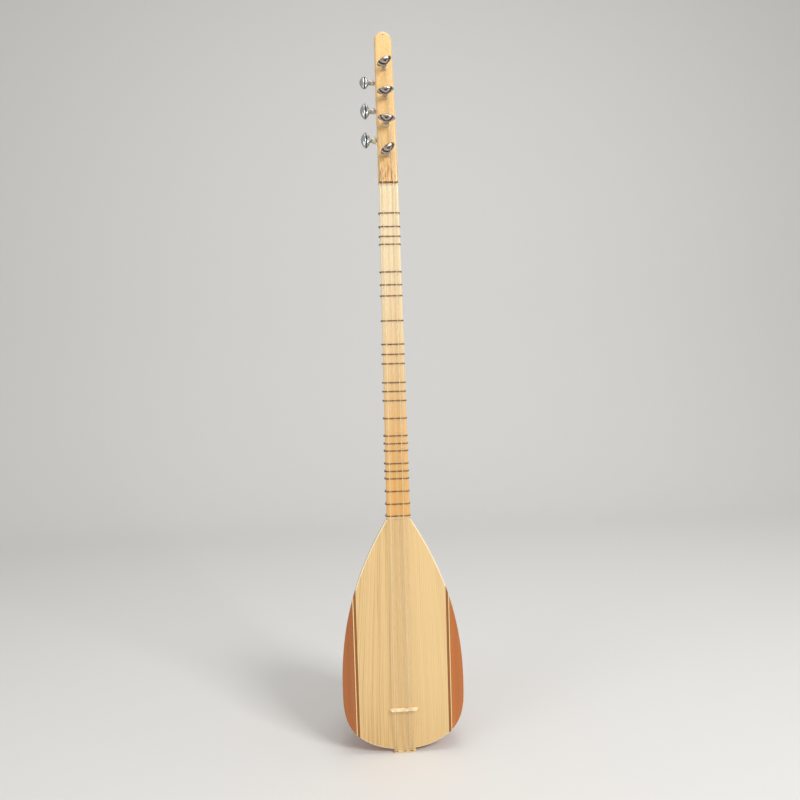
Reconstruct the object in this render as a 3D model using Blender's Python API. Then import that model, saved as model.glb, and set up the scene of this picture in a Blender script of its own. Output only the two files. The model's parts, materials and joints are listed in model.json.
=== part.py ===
"""Seven-string long-neck lute (baglama, or saz) as an assembly of its real pieces.

Frame: +Z runs up the neck, the soundboard faces -Y and +X is to the right of someone facing it.
The origin is the middle of the string holder's flat bottom face. All sizes are in metres.
"""

import math

import bmesh
import bpy
import numpy as np
from mathutils import Matrix, Vector

# Clearances
GAP = 0.0003               # between pieces that touch or are glued
HOLE_CLEARANCE = 0.00035   # between a peg's shaft and its hole
BLOCK_GAP = 0.0006         # between the bowl's inside and the blocks

# Body
BODY_LENGTH = 0.399        # soundboard, tail to neck joint
BODY_WIDTH = 0.206         # widest point of the soundboard
BODY_DEPTH = 0.140         # bowl behind the soundboard
WIDEST_FROM_TAIL = 0.110
BOARD_THICKNESS = 0.0032
SHELL_THICKNESS = 0.003
TAIL_POWER = 3.15           # how blunt the tail end of the pear is
NECK_POWER = 2.17          # how the pear closes towards the neck
NECK_FLARE = 1.2           # extra wall measured across the slope at the neck
RIB_COUNT = 7
RIB_STEPS = 4
TAIL_STEPS = 7
NECK_STEPS = 6
CAP_HALF_WIDTH = 0.026     # round end cap that the ribs run into
WING_LINE = 0.0820         # from the middle to the inner edge of the dark wings
LIGHT_LINE_WIDTH = 0.0020
BROWN_LINE_WIDTH = 0.0036
END_BLOCK_LENGTH = 0.026
SOUND_HOLE_RADIUS = 0.007
SOUND_HOLE_BEHIND_HOLDER = 0.0105
NECK_BLOCK_LENGTH = 0.045

# Neck, nut and frets
NECK_LENGTH = 0.555        # nut to neck joint
NECK_WIDTH_NUT = 0.0310
NECK_WIDTH_BODY = 0.0392
NECK_DEPTH_NUT = 0.024
NECK_DEPTH_BODY = 0.031
NECK_EDGE_RADIUS = 0.0025
NECK_BACK_SHARE = 0.62     # share of the depth that is the round back
SHOULDER_STEP = 0.0009     # the bowl stands this proud of the neck
TENON_WIDTH = 0.014
TENON_DEPTH = 0.014
TENON_LENGTH = 0.025
TENON_FROM_FRONT = 0.008
TENON_EDGE_RADIUS = 0.001
NUT_THICKNESS = 0.0022
NUT_RISE = 0.0020
NUT_SEAT_DEPTH = 0.005
NUT_SIDE_INSET = 0.0004
NUT_EDGE = 0.0004             # rounding of its edges
FRET_CENTS = (
    100, 146, 180, 208, 310, 360, 404, 508, 613, 660, 705, 800,
    846, 896, 996, 1101, 1150, 1197, 1283, 1337, 1391, 1488, 1590, 1693,
)
LAST_FRET_FROM_JOINT = 0.006
FRET_HEIGHT = 0.0020       # along the neck
FRET_THICKNESS = 0.0010
KNOT_RISE = 0.0012
KNOT_SPREAD = 0.004
KNOT_DEPTH_SHARE = 1 / 3       # how far down the neck's side the knots sit

# Peg head, tilted back from the nut
HEAD_TILT = math.radians(12.0)
HEAD_LENGTH = 0.266
HEAD_WIDTH_BASE = 0.0325
HEAD_WIDTH_TOP = 0.0290
HEAD_DEPTH_BASE = 0.027
HEAD_DEPTH_TOP = 0.023
HEAD_EDGE_RADIUS = 0.004
HEAD_TOP_ROUND = 0.013
HEAD_TOP_STEPS = (0.66, 0.35, 0.14, 0.03)  # shares of the rounding, measured down from the top
HANG_HOLE_RADIUS = 0.0011
HANG_HOLE_FROM_TOP = 0.0048
SMALL_HOLE_SIDES = 10

# Pegs
FRONT_PEG_UPS = (0.0470, 0.0995, 0.1479, 0.1998)  # from the head's foot
FRONT_PEG_TURNS = (36, -4, 12, 32)
SIDE_PEG_FIRST = 0.0775
SIDE_PEG_PITCH = 0.0515
SIDE_PEG_TURNS = (0, 0, 18)
SIDE_PEG_BEHIND_FACE = 0.0115
SHAFT_RADIUS = 0.0034
SHAFT_TIP_RADIUS = 0.0027
SHAFT_TIP_LENGTH = 0.003
SHAFT_FREE_LENGTH = 0.0088  # bare shaft between the head and the collar
COLLAR_RISE = 0.0012       # the collar stands this much outside the shaft
COLLAR_LENGTH = 0.0017
COLLAR_EDGE = 0.0002
BUTTON_HALF_LENGTH = 0.0146
BUTTON_HALF_THICKNESS = 0.0060
BUTTON_HEIGHT = 0.0160
BUTTON_RINGS = (               # shares of its height, half length and half thickness
    (0.04, 0.34, 0.72), (0.20, 0.74, 0.90), (0.38, 0.96, 1.0), (0.52, 1.0, 0.98),
    (0.70, 0.82, 0.84), (0.86, 0.52, 0.62), (1.0, 0.20, 0.30))
PEG_SIDES = 12
HOLE_SIDES = 20

# Strings
WOUND_RADIUS = 0.00048
PLAIN_RADIUS = 0.00027
WINDING_WALL = 0.0011      # the turns round the shaft
WINDING_START = 0.0010     # from the head to the first turn
WINDING_LENGTH = 0.0070
WINDING_SIDES = 16
STRING_NAMES = (
    "string_bass_wound", "string_bass_plain", "string_middle_left", "string_middle_right",
    "string_treble_wound", "string_treble_left", "string_treble_right",
)
STRING_AT_BRIDGE = (-0.0160, -0.0134, -0.0015, 0.0012, 0.0086, 0.0112, 0.0138)
STRING_AT_NUT = (-0.0095, -0.0073, -0.0011, 0.0011, 0.0079, 0.0101, 0.0123)
WOUND_STRINGS = (0, 4)
SIDE_STRINGS = (0, 1, 2)
BEND_SHARE = 0.72          # how far up to its peg a side string leaves the front of the head
BEND_ANGLE = math.radians(40)
BEND_REACH = 1.16          # the bend's corner stands this much outside the rounded edge

# Bridge and string holder
BRIDGE_BASE_WIDTH = 0.049
BRIDGE_TOP_WIDTH = 0.042
BRIDGE_HEIGHT = 0.0080
BRIDGE_BASE_THICKNESS = 0.0036
BRIDGE_TOP_THICKNESS = 0.0020
BRIDGE_EDGE = 0.0005           # rounding of its edges
BRIDGE_TRAVEL = 0.002
BRIDGE_SETBACK = 0.0025    # beyond the exact string length, as stopped strings sound sharp
HOLDER_WIDTH = 0.036
HOLDER_HEIGHT = 0.0060
HOLDER_DEPTH = 0.014
HOLDER_STEPS = 8
STRING_HOLE_RADIUS = 0.0012
STRING_HOLE_HEIGHT = 0.0029
STRING_OFF_BOARD = 0.0011
STRING_END_SHARE = 0.6         # how far through the holder a string reaches

# Places that follow from the sizes
FRONT_Y = -HOLDER_DEPTH / 2
RIM_Y = FRONT_Y + BOARD_THICKNESS + GAP
TAIL_Z = HOLDER_HEIGHT
JOINT_Z = TAIL_Z + BODY_LENGTH
NUT_Z = JOINT_Z + NECK_LENGTH
NECK_TOP_Z = NUT_Z + NUT_THICKNESS / 2
SCALE_LENGTH = (NECK_LENGTH - LAST_FRET_FROM_JOINT) / (1 - 2 ** (-FRET_CENTS[-1] / 1200))
BRIDGE_Z = NUT_Z - SCALE_LENGTH - BRIDGE_SETBACK
WINDING_RADIUS = SHAFT_RADIUS + HOLE_CLEARANCE + WINDING_WALL / 2
SHOULDER_HALF_WIDTH = NECK_WIDTH_BODY / 2 + SHOULDER_STEP
SHOULDER_DEPTH = NECK_DEPTH_BODY - BOARD_THICKNESS - GAP + SHOULDER_STEP
HEAD_ORIGIN = Vector((0.0, FRONT_Y, NECK_TOP_Z + GAP))
HEAD_TO_WORLD = Matrix.Translation(HEAD_ORIGIN) @ Matrix.Rotation(-HEAD_TILT, 4, "X")

# Finishes: colour, roughness, metallic
SPRUCE = ((0.79, 0.57, 0.29), 0.42, 0.0)
MAHOGANY = ((0.46, 0.17, 0.06), 0.35, 0.0)
MAPLE = ((0.90, 0.68, 0.38), 0.40, 0.0)
BROWN_WOOD = ((0.36, 0.18, 0.07), 0.45, 0.0)
NECK_WOOD = ((0.86, 0.60, 0.29), 0.35, 0.0)
HEAD_WOOD = ((0.84, 0.56, 0.24), 0.35, 0.0)
PALE_WOOD = ((0.90, 0.74, 0.45), 0.45, 0.0)
PEG_BLACK = ((0.05, 0.05, 0.055), 0.22, 0.0)
NYLON = ((0.42, 0.25, 0.10), 0.30, 0.0)
STEEL = ((0.72, 0.71, 0.68), 0.25, 1.0)
BRONZE = ((0.80, 0.62, 0.34), 0.30, 1.0)


# ---------------------------------------------------------------- mesh helpers

def clear_scene():
    for obj in list(bpy.data.objects):
        bpy.data.objects.remove(obj, do_unlink=True)


def make_object(name, mesh, finish=None, parent=None, matrix=None, smooth_angle=40.0):
    """Links a mesh as a named object with its own material, placed in its parent's space."""
    obj = bpy.data.objects.new(name, mesh)
    bpy.context.scene.collection.objects.link(obj)
    mesh.shade_smooth()
    mesh.set_sharp_from_angle(angle=math.radians(smooth_angle))
    if finish is not None:
        colour, roughness, metallic = finish
        material = bpy.data.materials.new(name)
        material.use_nodes = True
        shader = material.node_tree.nodes["Principled BSDF"]
        shader.inputs["Base Color"].default_value = (*colour, 1.0)
        shader.inputs["Roughness"].default_value = roughness
        shader.inputs["Metallic"].default_value = metallic
        mesh.materials.append(material)
    obj.parent = parent
    if matrix is not None:
        location, rotation, _ = matrix.decompose()
        obj.location = location
        obj.rotation_euler = rotation.to_euler()
    return obj


def mesh_of(name, build):
    """A mesh from a function that fills a bmesh, with every face turned outwards."""
    shape = bmesh.new()
    build(shape)
    bmesh.ops.recalc_face_normals(shape, faces=shape.faces)
    mesh = bpy.data.meshes.new(name)
    shape.to_mesh(mesh)
    shape.free()
    return mesh


def helper(name, mesh, matrix=None):
    """A cutter or a guide: it takes part in a Boolean and isn't a piece of the lute."""
    obj = make_object(name, mesh, matrix=matrix)
    obj.hide_render = True
    obj.display_type = "WIRE"
    return obj


def boolean(obj, other, operation):
    modifier = obj.modifiers.new(other.name, "BOOLEAN")
    modifier.operation = operation
    modifier.solver = "EXACT"
    modifier.object = other


def bevel(obj, width, segments=2):
    modifier = obj.modifiers.new("edges", "BEVEL")
    modifier.width = width
    modifier.segments = segments
    modifier.limit_method = "ANGLE"


def loft_mesh(name, rings):
    """A closed body through rings of equally many points, capped at both ends."""
    def build(shape):
        loops = [[shape.verts.new(point) for point in ring] for ring in rings]
        count = len(loops[0])
        for low, high in zip(loops, loops[1:]):
            for i in range(count):
                j = (i + 1) % count
                shape.faces.new((low[i], low[j], high[j], high[i]))
        shape.faces.new(loops[0][::-1])
        shape.faces.new(loops[-1])
    return mesh_of(name, build)


def band_mesh(name, inner, outer, low, high):
    """A closed band between two outlines in X and Y, from one height to another."""
    def build(shape):
        loops = [
            [shape.verts.new((x, y, z)) for x, y in outline]
            for outline, z in ((inner, low), (outer, low), (outer, high), (inner, high))
        ]
        count = len(inner)
        for a, b in zip(loops, loops[1:] + loops[:1]):
            for i in range(count):
                j = (i + 1) % count
                shape.faces.new((a[i], a[j], b[j], b[i]))
    return mesh_of(name, build)


def slab_mesh(name, outer, inner):
    """A closed shell piece between two grids of points of the same size."""
    rows, columns = outer.shape[:2]

    def build(shape):
        front = [[shape.verts.new(p) for p in row] for row in outer]
        back = [[shape.verts.new(p) for p in row] for row in inner]
        for r in range(rows - 1):
            for c in range(columns - 1):
                for side in (front, back):
                    shape.faces.new((side[r][c], side[r][c + 1], side[r + 1][c + 1], side[r + 1][c]))
        rim = [(0, c) for c in range(columns)]
        rim += [(r, columns - 1) for r in range(1, rows)]
        rim += [(rows - 1, c) for c in range(columns - 2, -1, -1)]
        rim += [(r, 0) for r in range(rows - 2, 0, -1)]
        for (r, c), (s, d) in zip(rim, rim[1:] + rim[:1]):
            shape.faces.new((front[r][c], front[s][d], back[s][d], back[r][c]))
    return mesh_of(name, build)


def plate_mesh(name, outline, front, thickness):
    """A flat plate: an outline in X and Z, extruded backwards."""
    def build(shape):
        face = shape.faces.new([shape.verts.new((x, front, z)) for x, z in outline])
        extruded = bmesh.ops.extrude_face_region(shape, geom=[face])["geom"]
        moved = [item for item in extruded if isinstance(item, bmesh.types.BMVert)]
        bmesh.ops.translate(shape, verts=moved, vec=(0.0, thickness, 0.0))
    return mesh_of(name, build)


def tube_mesh(name, points, radius):
    """A six-sided round bar along a row of points, made by a bevelled curve."""
    curve = bpy.data.curves.new(name, "CURVE")
    curve.dimensions = "3D"
    curve.bevel_depth = radius
    curve.bevel_resolution = 1
    curve.use_fill_caps = True
    spline = curve.splines.new("POLY")
    spline.points.add(len(points) - 1)
    for point, place in zip(spline.points, points):
        point.co = (*place, 1.0)
    guide = bpy.data.objects.new(name, curve)
    bpy.context.scene.collection.objects.link(guide)
    graph = bpy.context.evaluated_depsgraph_get()
    mesh = bpy.data.meshes.new_from_object(guide.evaluated_get(graph))
    bpy.data.objects.remove(guide, do_unlink=True)
    bpy.data.curves.remove(curve)
    shape = bmesh.new()
    shape.from_mesh(mesh)
    bmesh.ops.remove_doubles(shape, verts=shape.verts, dist=1e-6)
    bmesh.ops.recalc_face_normals(shape, faces=shape.faces)
    shape.to_mesh(mesh)
    shape.free()
    return mesh


def circle(radius, sides):
    angles = np.arange(sides) * 2 * math.pi / sides
    return np.column_stack((radius * np.cos(angles), radius * np.sin(angles)))


# ---------------------------------------------------------------- bowl and soundboard

def pear(distance, full, at_joint):
    """Half size of the pear at a distance from its tail: a blunt oval, then a closing curve."""
    near_tail = np.clip(1 - distance / WIDEST_FROM_TAIL, 0, 1)
    past_widest = np.clip((distance - WIDEST_FROM_TAIL) / (BODY_LENGTH - WIDEST_FROM_TAIL), 0, 1)
    return full * np.sqrt(1 - near_tail**TAIL_POWER) - (full - at_joint) * past_widest**NECK_POWER


def half_width(distance):
    return pear(distance, BODY_WIDTH / 2, SHOULDER_HALF_WIDTH)


def tail_distance(half):
    """How far from the tail the outline first reaches this half width."""
    return WIDEST_FROM_TAIL * (1 - (1 - (half / (BODY_WIDTH / 2)) ** 2) ** (1 / TAIL_POWER))


def neck_distance(half):
    """How far from the tail the outline last has this half width."""
    full = BODY_WIDTH / 2
    rise = ((full - half) / (full - SHOULDER_HALF_WIDTH)) ** (1 / NECK_POWER)
    return WIDEST_FROM_TAIL + rise * (BODY_LENGTH - WIDEST_FROM_TAIL)


def stations(first_half):
    """Distances from the tail at which the bowl is cut, closer together round its tail end."""
    first = math.asin(first_half / (BODY_WIDTH / 2))
    angles = np.linspace(first, math.pi / 2, TAIL_STEPS + 1)
    tail = WIDEST_FROM_TAIL * (1 - np.cos(angles).clip(0) ** (2 / TAIL_POWER))
    neck = np.linspace(WIDEST_FROM_TAIL, BODY_LENGTH, NECK_STEPS + 1)[1:]
    return np.concatenate((tail, neck))


def bowl_points(angles, distances, inset):
    """The bowl's surface, this far inside the outer one: half ellipses whose size is the pear's."""
    half = pear(distances, BODY_WIDTH / 2 - inset, SHOULDER_HALF_WIDTH - inset * NECK_FLARE)
    depth = pear(distances, BODY_DEPTH - inset, SHOULDER_DEPTH - inset * NECK_FLARE)
    height = TAIL_Z + inset + distances * (1 - inset / BODY_LENGTH)
    x, y, z = np.broadcast_arrays(
        half[:, None] * np.cos(angles), RIM_Y + depth[:, None] * np.sin(angles), height[:, None]
    )
    return np.stack((x, y, z), axis=-1)


def make_ribs():
    distances = stations(CAP_HALF_WIDTH + GAP)
    half = half_width(distances)
    depth = pear(distances, BODY_DEPTH, SHOULDER_DEPTH)
    share = np.linspace(0, 1, RIB_STEPS + 1)
    for index in range(RIB_COUNT):
        edges = np.array((index, index + 1)) * math.pi / RIB_COUNT
        arc = np.hypot(half[:, None] * np.sin(edges), depth[:, None] * np.cos(edges))
        seam = GAP / 2 / arc * (index > 0, index < RIB_COUNT - 1)
        low = edges[0] + seam[:, :1]
        high = edges[1] - seam[:, 1:]
        angles = low + (high - low) * share
        outer = bowl_points(angles, distances, 0.0)
        inner = bowl_points(angles, distances, SHELL_THICKNESS)
        finish = MAHOGANY if index % 2 else BROWN_WOOD
        make_object(f"bowl_rib_{index + 1}", slab_mesh("rib", outer, inner), finish)


def block_rings(low, high):
    """The bowl's inside between two distances, as rings that keep clear of its flat facets."""
    angles = np.linspace(0, math.pi, RIB_COUNT * RIB_STEPS + 1)
    distances = stations(CAP_HALF_WIDTH + GAP)
    rings = bowl_points(angles, distances, SHELL_THICKNESS + BLOCK_GAP)
    wanted = [low, *(d for d in distances if low < d < high), high]
    found = []
    for distance in wanted:
        after = int(np.searchsorted(distances, distance).clip(1, len(distances) - 1))
        share = (distance - distances[after - 1]) / (distances[after] - distances[after - 1])
        found.append(rings[after - 1] * (1 - share) + rings[after] * share)
    return found


def make_end_block():
    """Glued inside the tail, with the round cap outside that the ribs run into."""
    angles = np.linspace(0, math.pi, RIB_COUNT * RIB_STEPS + 1)
    cap_edges = tail_distance(CAP_HALF_WIDTH * np.array((0.3, 0.65, 1.0)))
    cap = list(bowl_points(angles, cap_edges, 0.0))
    inside = block_rings(cap_edges[-1], END_BLOCK_LENGTH)
    block = make_object("end_block", loft_mesh("end_block", cap + inside), BROWN_WOOD, smooth_angle=30)
    hole_y = FRONT_Y + HOLDER_DEPTH + SOUND_HOLE_BEHIND_HOLDER
    ring = circle(SOUND_HOLE_RADIUS, HOLE_SIDES) + (0.0, hole_y)
    ends = (TAIL_Z - END_BLOCK_LENGTH, TAIL_Z + 2 * END_BLOCK_LENGTH)
    cutter = helper("sound_hole_cutter", loft_mesh("cutter", [[(x, y, z) for x, y in ring] for z in ends]))
    boolean(block, cutter, "DIFFERENCE")


def make_neck_block():
    rings = block_rings(BODY_LENGTH - NECK_BLOCK_LENGTH, BODY_LENGTH)
    block = make_object("neck_block", loft_mesh("neck_block", rings), SPRUCE)
    section = neck_section(TENON_WIDTH + 2 * GAP, TENON_DEPTH + 2 * GAP, TENON_EDGE_RADIUS)
    section = section + (0.0, FRONT_Y + TENON_FROM_FRONT - GAP)
    ends = (JOINT_Z - TENON_LENGTH - GAP, JOINT_Z + NECK_BLOCK_LENGTH)
    cutter = helper("mortise_cutter", loft_mesh("mortise", [[(x, y, z) for x, y in section] for z in ends]))
    boolean(block, cutter, "DIFFERENCE")


def mirrored(points):
    return [(-x, z) for x, z in points][::-1]


def outline_run(start, end, count):
    """Points of the soundboard's right edge between two distances from the tail."""
    distances = np.linspace(start, end, count)
    return [(float(half_width(d)), TAIL_Z + float(d)) for d in distances]


def make_soundboard():
    """The middle board, closed at its tail by the blunt oval and at its neck by a straight edge."""
    edge = WING_LINE - LIGHT_LINE_WIDTH - BROWN_LINE_WIDTH - GAP / 2
    swing = np.linspace(0, math.asin(edge / (BODY_WIDTH / 2)), 14)
    tail = [
        (BODY_WIDTH / 2 * math.sin(a), TAIL_Z + float(tail_distance(BODY_WIDTH / 2 * math.sin(a))))
        for a in swing
    ]
    neck = outline_run(neck_distance(edge), BODY_LENGTH, 14)
    right = tail + neck
    outline = right + mirrored(right)[:-1]
    make_object("soundboard", plate_mesh("soundboard", outline, FRONT_Y, BOARD_THICKNESS), SPRUCE)


def strip_outline(inner, outer):
    """A straight strip along the board between two lines, its ends cut to the outline."""
    return [
        (inner, TAIL_Z + tail_distance(inner)),
        (outer, TAIL_Z + tail_distance(outer)),
        (outer, TAIL_Z + neck_distance(outer)),
        (inner, TAIL_Z + neck_distance(inner)),
    ]


def wing_outline():
    inner = WING_LINE + GAP / 2
    swing = np.linspace(math.asin(inner / (BODY_WIDTH / 2)), math.pi / 2, 12)
    tail = [
        (BODY_WIDTH / 2 * math.sin(a), TAIL_Z + float(tail_distance(BODY_WIDTH / 2 * math.sin(a))))
        for a in swing
    ]
    return tail + outline_run(WIDEST_FROM_TAIL, neck_distance(inner), 12)[1:]


def make_board_edges():
    light_inner = WING_LINE - LIGHT_LINE_WIDTH
    brown_inner = light_inner - BROWN_LINE_WIDTH
    pieces = (
        ("soundboard_wing", wing_outline(), MAHOGANY),
        ("light_line", strip_outline(light_inner + GAP / 2, WING_LINE - GAP / 2), MAPLE),
        ("brown_line", strip_outline(brown_inner + GAP / 2, light_inner - GAP / 2), BROWN_WOOD),
    )
    for name, outline, finish in pieces:
        for side, points in (("right", outline), ("left", mirrored(outline))):
            mesh = plate_mesh(name, points, FRONT_Y, BOARD_THICKNESS)
            make_object(f"{name}_{side}", mesh, finish)


# ---------------------------------------------------------------- neck, nut and frets

def neck_section(width, depth, edge_radius):
    """Flat front with two rounded edges, straight sides and a half-oval back; y counts from the front."""
    corner = np.radians(np.linspace(-90, 0, 3))
    back = np.radians(np.linspace(0, 180, 11))
    rise = depth * NECK_BACK_SHARE
    centre = width / 2 - edge_radius
    right = np.column_stack((centre + edge_radius * np.cos(corner), edge_radius * (1 + np.sin(corner))))
    arc = np.column_stack((width / 2 * np.cos(back), depth - rise + rise * np.sin(back)))
    left = right[::-1] * (-1, 1)
    return np.vstack((right, arc, left))


def neck_size(height):
    """Width and depth of the neck at a height."""
    share = (height - JOINT_Z) / NECK_LENGTH
    width = NECK_WIDTH_BODY + (NECK_WIDTH_NUT - NECK_WIDTH_BODY) * share
    depth = NECK_DEPTH_BODY + (NECK_DEPTH_NUT - NECK_DEPTH_BODY) * share
    return width, depth


def make_neck():
    foot = JOINT_Z + GAP
    tenon = neck_section(TENON_WIDTH, TENON_DEPTH, TENON_EDGE_RADIUS) + (0.0, FRONT_Y + TENON_FROM_FRONT)
    rings = [[(x, y, z) for x, y in tenon] for z in (JOINT_Z - TENON_LENGTH, foot)]
    for height in (foot, NECK_TOP_Z):
        section = neck_section(*neck_size(height), NECK_EDGE_RADIUS)
        rings.append([(x, FRONT_Y + y, height) for x, y in section])
    neck = make_object("neck", loft_mesh("neck", rings), NECK_WOOD)
    seat_low = NUT_Z - NUT_THICKNESS / 2 - GAP
    outline = [
        (-NECK_WIDTH_NUT, seat_low), (NECK_WIDTH_NUT, seat_low),
        (NECK_WIDTH_NUT, NUT_Z + NECK_WIDTH_NUT), (-NECK_WIDTH_NUT, NUT_Z + NECK_WIDTH_NUT),
    ]
    front = FRONT_Y - NUT_SEAT_DEPTH
    cutter = helper("nut_seat_cutter", plate_mesh("seat", outline, front, 2 * NUT_SEAT_DEPTH + GAP))
    boolean(neck, cutter, "DIFFERENCE")


def make_nut():
    half = neck_size(NUT_Z)[0] / 2 - NUT_SIDE_INSET
    low = NUT_Z - NUT_THICKNESS / 2
    outline = [(-half, low), (half, low), (half, low + NUT_THICKNESS), (-half, low + NUT_THICKNESS)]
    mesh = plate_mesh("nut", outline, FRONT_Y - NUT_RISE, NUT_RISE + NUT_SEAT_DEPTH)
    nut = make_object("nut", mesh, BROWN_WOOD)
    bevel(nut, NUT_EDGE)


def offset_outline(section, distance):
    """The outline moved outwards; distance may vary from point to point."""
    edge = np.roll(section, -1, axis=0) - section
    normal = np.column_stack((edge[:, 1], -edge[:, 0]))
    normal /= np.linalg.norm(normal, axis=1)[:, None]
    corner = normal + np.roll(normal, 1, axis=0)
    corner /= (corner * normal).sum(axis=1)[:, None]
    return section + corner * np.reshape(distance, (-1, 1))


def make_frets():
    """Gut tied round the neck, each with its knot on the bass side; each can be slid a little."""
    for index, cents in enumerate(FRET_CENTS):
        height = NUT_Z - SCALE_LENGTH * (1 - 2 ** (-cents / 1200))
        section = neck_section(*neck_size(height), NECK_EDGE_RADIUS)
        # The knot swells the band at the middle of the neck's left side.
        knot_depth = NECK_DEPTH_NUT * KNOT_DEPTH_SHARE
        to_knot = np.hypot(section[:, 0] + NECK_WIDTH_NUT / 2, section[:, 1] - knot_depth)
        knot = KNOT_RISE * np.exp(-((to_knot / KNOT_SPREAD) ** 2))
        inner = offset_outline(section, np.full(len(section), GAP))
        outer = offset_outline(section, GAP + FRET_THICKNESS + knot)
        mesh = band_mesh("fret", inner, outer, -FRET_HEIGHT / 2, FRET_HEIGHT / 2)
        place = Matrix.Translation((0.0, FRONT_Y, height))
        make_object(f"fret_{index + 1:02d}", mesh, NYLON, matrix=place)


# ---------------------------------------------------------------- peg head and pegs

def head_size(up):
    share = up / HEAD_LENGTH
    width = HEAD_WIDTH_BASE + (HEAD_WIDTH_TOP - HEAD_WIDTH_BASE) * share
    depth = HEAD_DEPTH_BASE + (HEAD_DEPTH_TOP - HEAD_DEPTH_BASE) * share
    return width, depth


def head_ring(up, shrink=1.0, level=False):
    """Rounded rectangle across the head; a level one is cut square to the neck instead."""
    width, depth = head_size(up)
    width *= shrink
    radius = HEAD_EDGE_RADIUS * shrink
    points = []
    for corner in range(4):
        side = -1 if corner in (1, 2) else 1
        back = corner in (2, 3)
        start = (-90, -180, -270, 0)[corner]
        for step in (0, 30, 60, 90):
            angle = math.radians(start + step)
            x = side * (width / 2 - radius) + radius * math.cos(angle)
            y = (depth - radius if back else radius) + radius * math.sin(angle)
            points.append((x, y))
    order = sorted(points, key=lambda p: math.atan2(p[1] - depth / 2, p[0]))
    lean = math.tan(HEAD_TILT) if level else 0.0
    return [(x, y, up + y * lean) for x, y in order]


def make_head(frame):
    rings = [head_ring(0.0, level=True), head_ring(HEAD_LENGTH - HEAD_TOP_ROUND)]
    for below_top in HEAD_TOP_ROUND * np.array(HEAD_TOP_STEPS):
        shrink = math.sqrt(1 - (1 - below_top / HEAD_TOP_ROUND) ** 2)
        rings.append(head_ring(HEAD_LENGTH - below_top, shrink))
    head = make_object("peg_head", loft_mesh("peg_head", rings), HEAD_WOOD, parent=frame)
    for name, place, length, _ in peg_places():
        mesh = loft_mesh("hole", shaft_rings(length, HOLE_CLEARANCE, HOLE_SIDES))
        boolean(head, helper(f"{name}_hole", mesh, HEAD_TO_WORLD @ place), "DIFFERENCE")
    hole_up = HEAD_LENGTH - HANG_HOLE_FROM_TOP
    ring = circle(HANG_HOLE_RADIUS, SMALL_HOLE_SIDES)
    ends = (-HEAD_DEPTH_BASE, 2 * HEAD_DEPTH_BASE)
    mesh = loft_mesh("hang_hole", [[(x, y, hole_up + z) for x, z in ring] for y in ends])
    boolean(head, helper("hang_hole_cutter", mesh, HEAD_TO_WORLD), "DIFFERENCE")


def peg_places():
    """Name, place in the head's frame with +Z out of the wood, wood thickness and turn of each peg."""
    places = []
    for index, (up, turn) in enumerate(zip(FRONT_PEG_UPS, FRONT_PEG_TURNS)):
        place = Matrix.Translation((0.0, 0.0, up)) @ Matrix.Rotation(math.pi / 2, 4, "X")
        places.append((f"front_peg_{index + 1}", place, head_size(up)[1] + SHAFT_TIP_LENGTH, turn))
    for index, turn in enumerate(SIDE_PEG_TURNS):
        up = SIDE_PEG_FIRST + index * SIDE_PEG_PITCH
        width = head_size(up)[0]
        place = Matrix.Translation((-width / 2, SIDE_PEG_BEHIND_FACE, up))
        place = place @ Matrix.Rotation(-math.pi / 2, 4, "Y")
        places.append((f"side_peg_{index + 1}", place, width - GAP, turn))
    return places


def shaft_rings(length, extra, sides):
    """A tapered shaft through the wood; a cutter is wider and runs past both faces."""
    reach = length + (SHAFT_TIP_LENGTH if extra else 0.0)
    tip = circle(SHAFT_TIP_RADIUS + extra, sides)
    root = circle(SHAFT_RADIUS + extra, sides)
    rings = [[(x, y, -reach) for x, y in tip], [(x, y, 0.0) for x, y in root]]
    if extra:
        rings.append([(x, y, SHAFT_FREE_LENGTH) for x, y in root])
    return rings


def button_rings():
    """The leaf-shaped button, narrow at the collar and at its crown and widest in between."""
    start = SHAFT_FREE_LENGTH + COLLAR_LENGTH
    rings = []
    for up, long_share, thick_share in BUTTON_RINGS:
        oval = circle(1.0, PEG_SIDES) * (BUTTON_HALF_LENGTH * long_share,
                                         BUTTON_HALF_THICKNESS * thick_share)
        rings.append([(x, y, start + BUTTON_HEIGHT * up) for x, y in oval])
    return rings


def make_pegs(frame):
    root = circle(SHAFT_RADIUS, PEG_SIDES)
    collar = circle(SHAFT_RADIUS + COLLAR_RISE, PEG_SIDES)
    for name, place, length, turn in peg_places():
        rings = shaft_rings(length, 0.0, PEG_SIDES)
        rings.append([(x, y, SHAFT_FREE_LENGTH) for x, y in root])
        for height in (SHAFT_FREE_LENGTH + COLLAR_EDGE, SHAFT_FREE_LENGTH + COLLAR_LENGTH):
            rings.append([(x, y, height) for x, y in collar])
        rings += button_rings()
        matrix = place @ Matrix.Rotation(math.radians(turn), 4, "Z")
        make_object(name, loft_mesh(name, rings), PEG_BLACK, parent=frame, matrix=matrix)


# ---------------------------------------------------------------- bridge and string holder

def make_bridge():
    """A low trapezoid, thinner at the top, that stands on the soundboard and can be slid."""
    foot = FRONT_Y - GAP
    rings = []
    for width, thickness, rise in (
        (BRIDGE_BASE_WIDTH, BRIDGE_BASE_THICKNESS, 0.0),
        (BRIDGE_TOP_WIDTH, BRIDGE_TOP_THICKNESS, BRIDGE_HEIGHT),
    ):
        x, z = width / 2, thickness / 2
        rings.append([(-x, foot - rise, -z), (x, foot - rise, -z), (x, foot - rise, z), (-x, foot - rise, z)])
    place = Matrix.Translation((0.0, 0.0, BRIDGE_Z))
    bridge = make_object("bridge", loft_mesh("bridge", rings), PALE_WOOD, matrix=place)
    bevel(bridge, BRIDGE_EDGE)


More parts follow.
